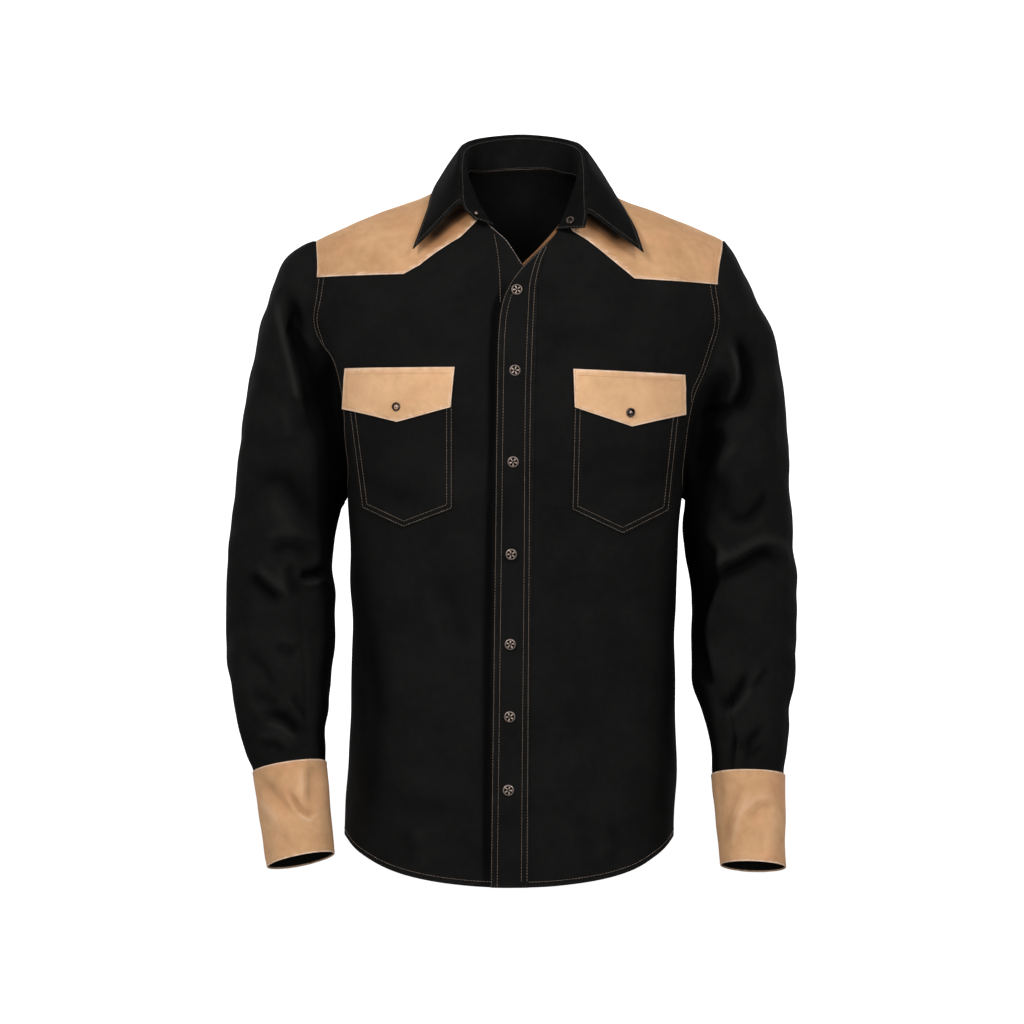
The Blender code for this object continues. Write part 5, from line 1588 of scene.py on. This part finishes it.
def twill(name, colours, sheen, gloss, deepest, worn_edge):
    """Twill cloth: diagonal ribs, flecks and mottling, paler edges where it wears, puckered seams and fine
    wrinkles.

    It also paints light and shade into its colour by the fold attribute: painted shade in creases and where
    shadow falls, and a painted highlight on the bulges beside creases. deepest is the depth of a crease whose
    bottom has the full colour of painted crease shade."""
    shading = Shading(
        name, Roughness=0.86, Sheen_Weight=sheen, Sheen_Roughness=0.45, Specular_IOR_Level=gloss
    )
    painted_shade, deep, darker, lighter, wear_and_highlight, faded = ((*colour, 1.0) for colour in colours)
    place = shading.add("ShaderNodeUVMap", uv_map="cloth").outputs[0]
    solid = shading.solid()
    ribs = bands(shading, place, TWILL_PITCH, TWILL_ANGLE)
    yarns = bands(shading, place, YARN_PITCH, TWILL_ANGLE + 90)
    weave = shading.times(ribs, shading.ranged(yarns, 0, 1, 0.6, 1.0))
    fleck = shading.noise(place, FLECK_SIZE / FLAT_UNIT, 3.0, 0.7)
    mottle = shading.noise(solid, MOTTLE_SIZE, 3.0)
    streak = shading.noise(solid, STREAK_SIZE, 2.0)
    patch = shading.noise(solid, PATCH_SIZE, 3.0, 0.6)
    fold = shading.attribute("fold")

    tone = shading.total(
        shading.ranged(weave, 0, 1, *WEAVE_TONE),
        shading.ranged(fleck, 0.3, 0.7, *FLECK_TONE),
        shading.ranged(mottle, 0.3, 0.7, *MOTTLE_TONE),
        shading.ranged(streak, 0.3, 0.7, *STREAK_TONE),
        shading.attribute("tone"),
    )
    base = shading.mixed(shading.ranged(tone, *TONE_ENDS), darker, lighter)
    base = shading.mixed(shading.ranged(patch, 0.5, 0.72, 0, PATCH_SHARE), base, faded)
    # Painted shade in creases and where shadow falls, and a painted highlight on the bulges beside creases
    base = shading.mixed(shading.ranged(fold, CREASE_START, deepest, 0, CREASE_SHARE), base, deep)
    base = shading.mixed(shading.ranged(fold, *PAINTED_SHADE_ENDS, 0, PAINTED_SHADE_SHARE), base, painted_shade)
    base = shading.mixed(shading.ranged(fold, *RIDGE_ENDS, RIDGE_SHARE, 0), base, wear_and_highlight)
    wear = shading.times(shading.attribute("edge"), shading.ranged(streak, 0.35, 0.65, *worn_edge))
    shading.link(shading.mixed(wear, base, wear_and_highlight), "Base Color")
    shading.link(shading.ranged(fleck, 0.2, 0.8, 0.8, 0.92), "Roughness")

    pucker = shading.times(
        shading.attribute("seam"), shading.ranged(shading.noise(solid, PUCKER_SIZE, 1.0), 0.25, 0.75)
    )
    wrinkle = shading.ranged(shading.noise(solid, WRINKLE_SIZE, 4.0, 0.6), 0.2, 0.8)
    relief = (
        shading.times(weave, WEAVE_HEIGHT),
        shading.times(pucker, PUCKER_HEIGHT),
        shading.times(wrinkle, WRINKLE_HEIGHT),
        shading.times(fleck, FLECK_HEIGHT),
    )
    shading.bump(shading.total(*relief), MM)
    return shading.material


def thread(name, colour):
    """Twisted sewing thread."""
    shading = Shading(name, Roughness=0.6, Sheen_Weight=0.1)
    solid = shading.solid()
    uneven = shading.noise(solid, THREAD_UNEVEN)
    fibre = shading.noise(solid, THREAD_FIBRE, 2.0, 0.7)
    share = shading.ranged(shading.total(uneven, fibre), 0.7, 1.3)
    darker, lighter = ((*(c * factor for c in colour), 1.0) for factor in (0.6, 1.3))
    shading.link(shading.mixed(share, darker, lighter), "Base Color")
    shading.bump(fibre, FIBRE_HEIGHT)
    return shading.material


def antique_copper():
    """Copper with a dark patina in its recesses and paler rubbed edges."""
    shading = Shading("antique_copper", Metallic=1.0)
    solid = shading.solid()
    stain = shading.noise(solid, STAIN_SIZE, 3.0, 0.6)
    patina = shading.total(shading.attribute("dark"), shading.ranged(stain, 0.35, 0.65, -0.15, 0.25))
    patina = shading.ranged(patina, 0.0, 1.0)
    shading.link(shading.mixed(patina, (*COPPER_RUBBED, 1.0), (*COPPER_DARK, 1.0)), "Base Color")
    shading.link(shading.ranged(shading.total(patina, stain), 0.3, 1.4, 0.28, 0.8), "Roughness")
    shading.bump(shading.noise(solid, SCRATCH_SIZE, 3.0, 0.7), SCRATCH_DEPTH)
    return shading.material


# ---------------------------------------------------------------- stage


def add_stage():
    """A pale floor that curves up into a pale round wall, further off than any camera. It lights nothing."""
    turns = np.linspace(0, math.pi / 2, BEND_RINGS)
    profile = [(FLOOR_RADIUS - BEND + BEND * math.sin(a), FLOOR + BEND * (1 - math.cos(a))) for a in turns]
    profile += [(FLOOR_RADIUS, WALL_TOP)]
    around = np.arange(STAGE_SIDES) * 2 * math.pi / STAGE_SIDES
    verts = [(r * math.cos(a), r * math.sin(a), z) for r, z in profile for a in around]
    faces = [list(range(STAGE_SIDES)), *band_faces(len(profile), STAGE_SIDES)]
    mesh = bpy.data.meshes.new("stage")
    mesh.from_pydata(verts, [], faces)
    mesh.polygons.foreach_set("use_smooth", [True] * len(faces))
    glow = {"Emission_Color": PAPER, "Emission_Strength": STAGE_GLOW}
    shading = Shading("stage_paper", Base_Color=PAPER, Roughness=1.0, Specular_IOR_Level=0.0, **glow)
    mesh.materials.append(shading.material)
    stage = bpy.data.objects.new("stage", mesh)
    stage.visible_diffuse = False
    stage.visible_glossy = False
    stage.visible_shadow = False
    bpy.context.scene.collection.objects.link(stage)


def add_lights():
    for name, place, size, power in LIGHTS:
        light = bpy.data.lights.new(name, "AREA")
        light.shape, light.size, light.energy = "DISK", size, power
        obj = bpy.data.objects.new(name, light)
        obj.location = place
        obj.rotation_euler = (Vector(LIGHTS_AIM) - Vector(place)).to_track_quat("-Z", "Y").to_euler()
        obj.visible_camera = False
        bpy.context.scene.collection.objects.link(obj)
    world = bpy.data.worlds.new("studio")
    world.use_nodes = True
    background = world.node_tree.nodes["Background"]
    background.inputs["Color"].default_value = (1.0, 1.0, 1.0, 1.0)
    background.inputs["Strength"].default_value = AMBIENT
    bpy.context.scene.world = world
    bpy.context.scene.view_settings.view_transform = "Standard"


def add_camera():
    camera = bpy.data.cameras.new("camera")
    camera.lens, camera.sensor_width = CAMERA_LENS, SENSOR
    obj = bpy.data.objects.new("camera", camera)
    obj.location = CAMERA_PLACE
    obj.rotation_euler = (math.pi / 2, 0.0, 0.0)
    bpy.context.scene.collection.objects.link(obj)
    bpy.context.scene.camera = obj


# ---------------------------------------------------------------- the shirt


def main():
    black = ("cloth_black", twill("black_twill", BLACK, 0.0, 0.02, 6.5, (0.05, 0.35)))
    tan = ("cloth_tan", twill("tan_twill", TAN, 0.05, 0.1, 7.0, (0.4, 0.9)))
    cloths = (black, tan)
    grids, sheets = add_fronts_and_back(black)
    right, left, back = grids
    front_right, front_left, back_panel = sheets
    for side, front, table, cuff, *creases in (
        ("right", right, SLEEVE_RIGHT, CUFF_RIGHT, SLEEVE_RIGHT_FRONT, SLEEVE_RIGHT_BACK, CUFF_RIGHT_FRONT),
        ("left", left, SLEEVE_LEFT, CUFF_LEFT, SLEEVE_LEFT_FRONT, SLEEVE_LEFT_BACK, CUFF_LEFT_FRONT),
    ):
        arm = (joined(table, SLEEVE_DEPTHS), joined(cuff, CUFF_DEPTHS), creases[:2], creases[2])
        add_sleeve_and_cuff(side, front, back, arm, cloths)
    add_collar(right, left, back, black)
    add_yokes(front_right, front_left, back_panel, tan)
    add_pocket("right", front_right, POCKET_RIGHT, FLAP_RIGHT, cloths)
    add_pocket("left", front_left, POCKET_LEFT, FLAP_LEFT, cloths)
    add_placket(front_left, black)
    add_neck_stitches(front_right)
    add_facing(tan)
    threads = (
        (PALE_STITCHES, thread("pale_thread", THREAD_PALE)),
        (DULL_STITCHES, thread("dull_thread", THREAD_DULL)),
        (LIGHT_STITCHES, thread("light_thread", THREAD_LIGHT)),
        ("stitching", thread("tan_thread", THREAD_TAN)),
    )
    add_stitches(threads)
    add_snaps(antique_copper())
    add_stage()
    add_lights()
    add_camera()


main()
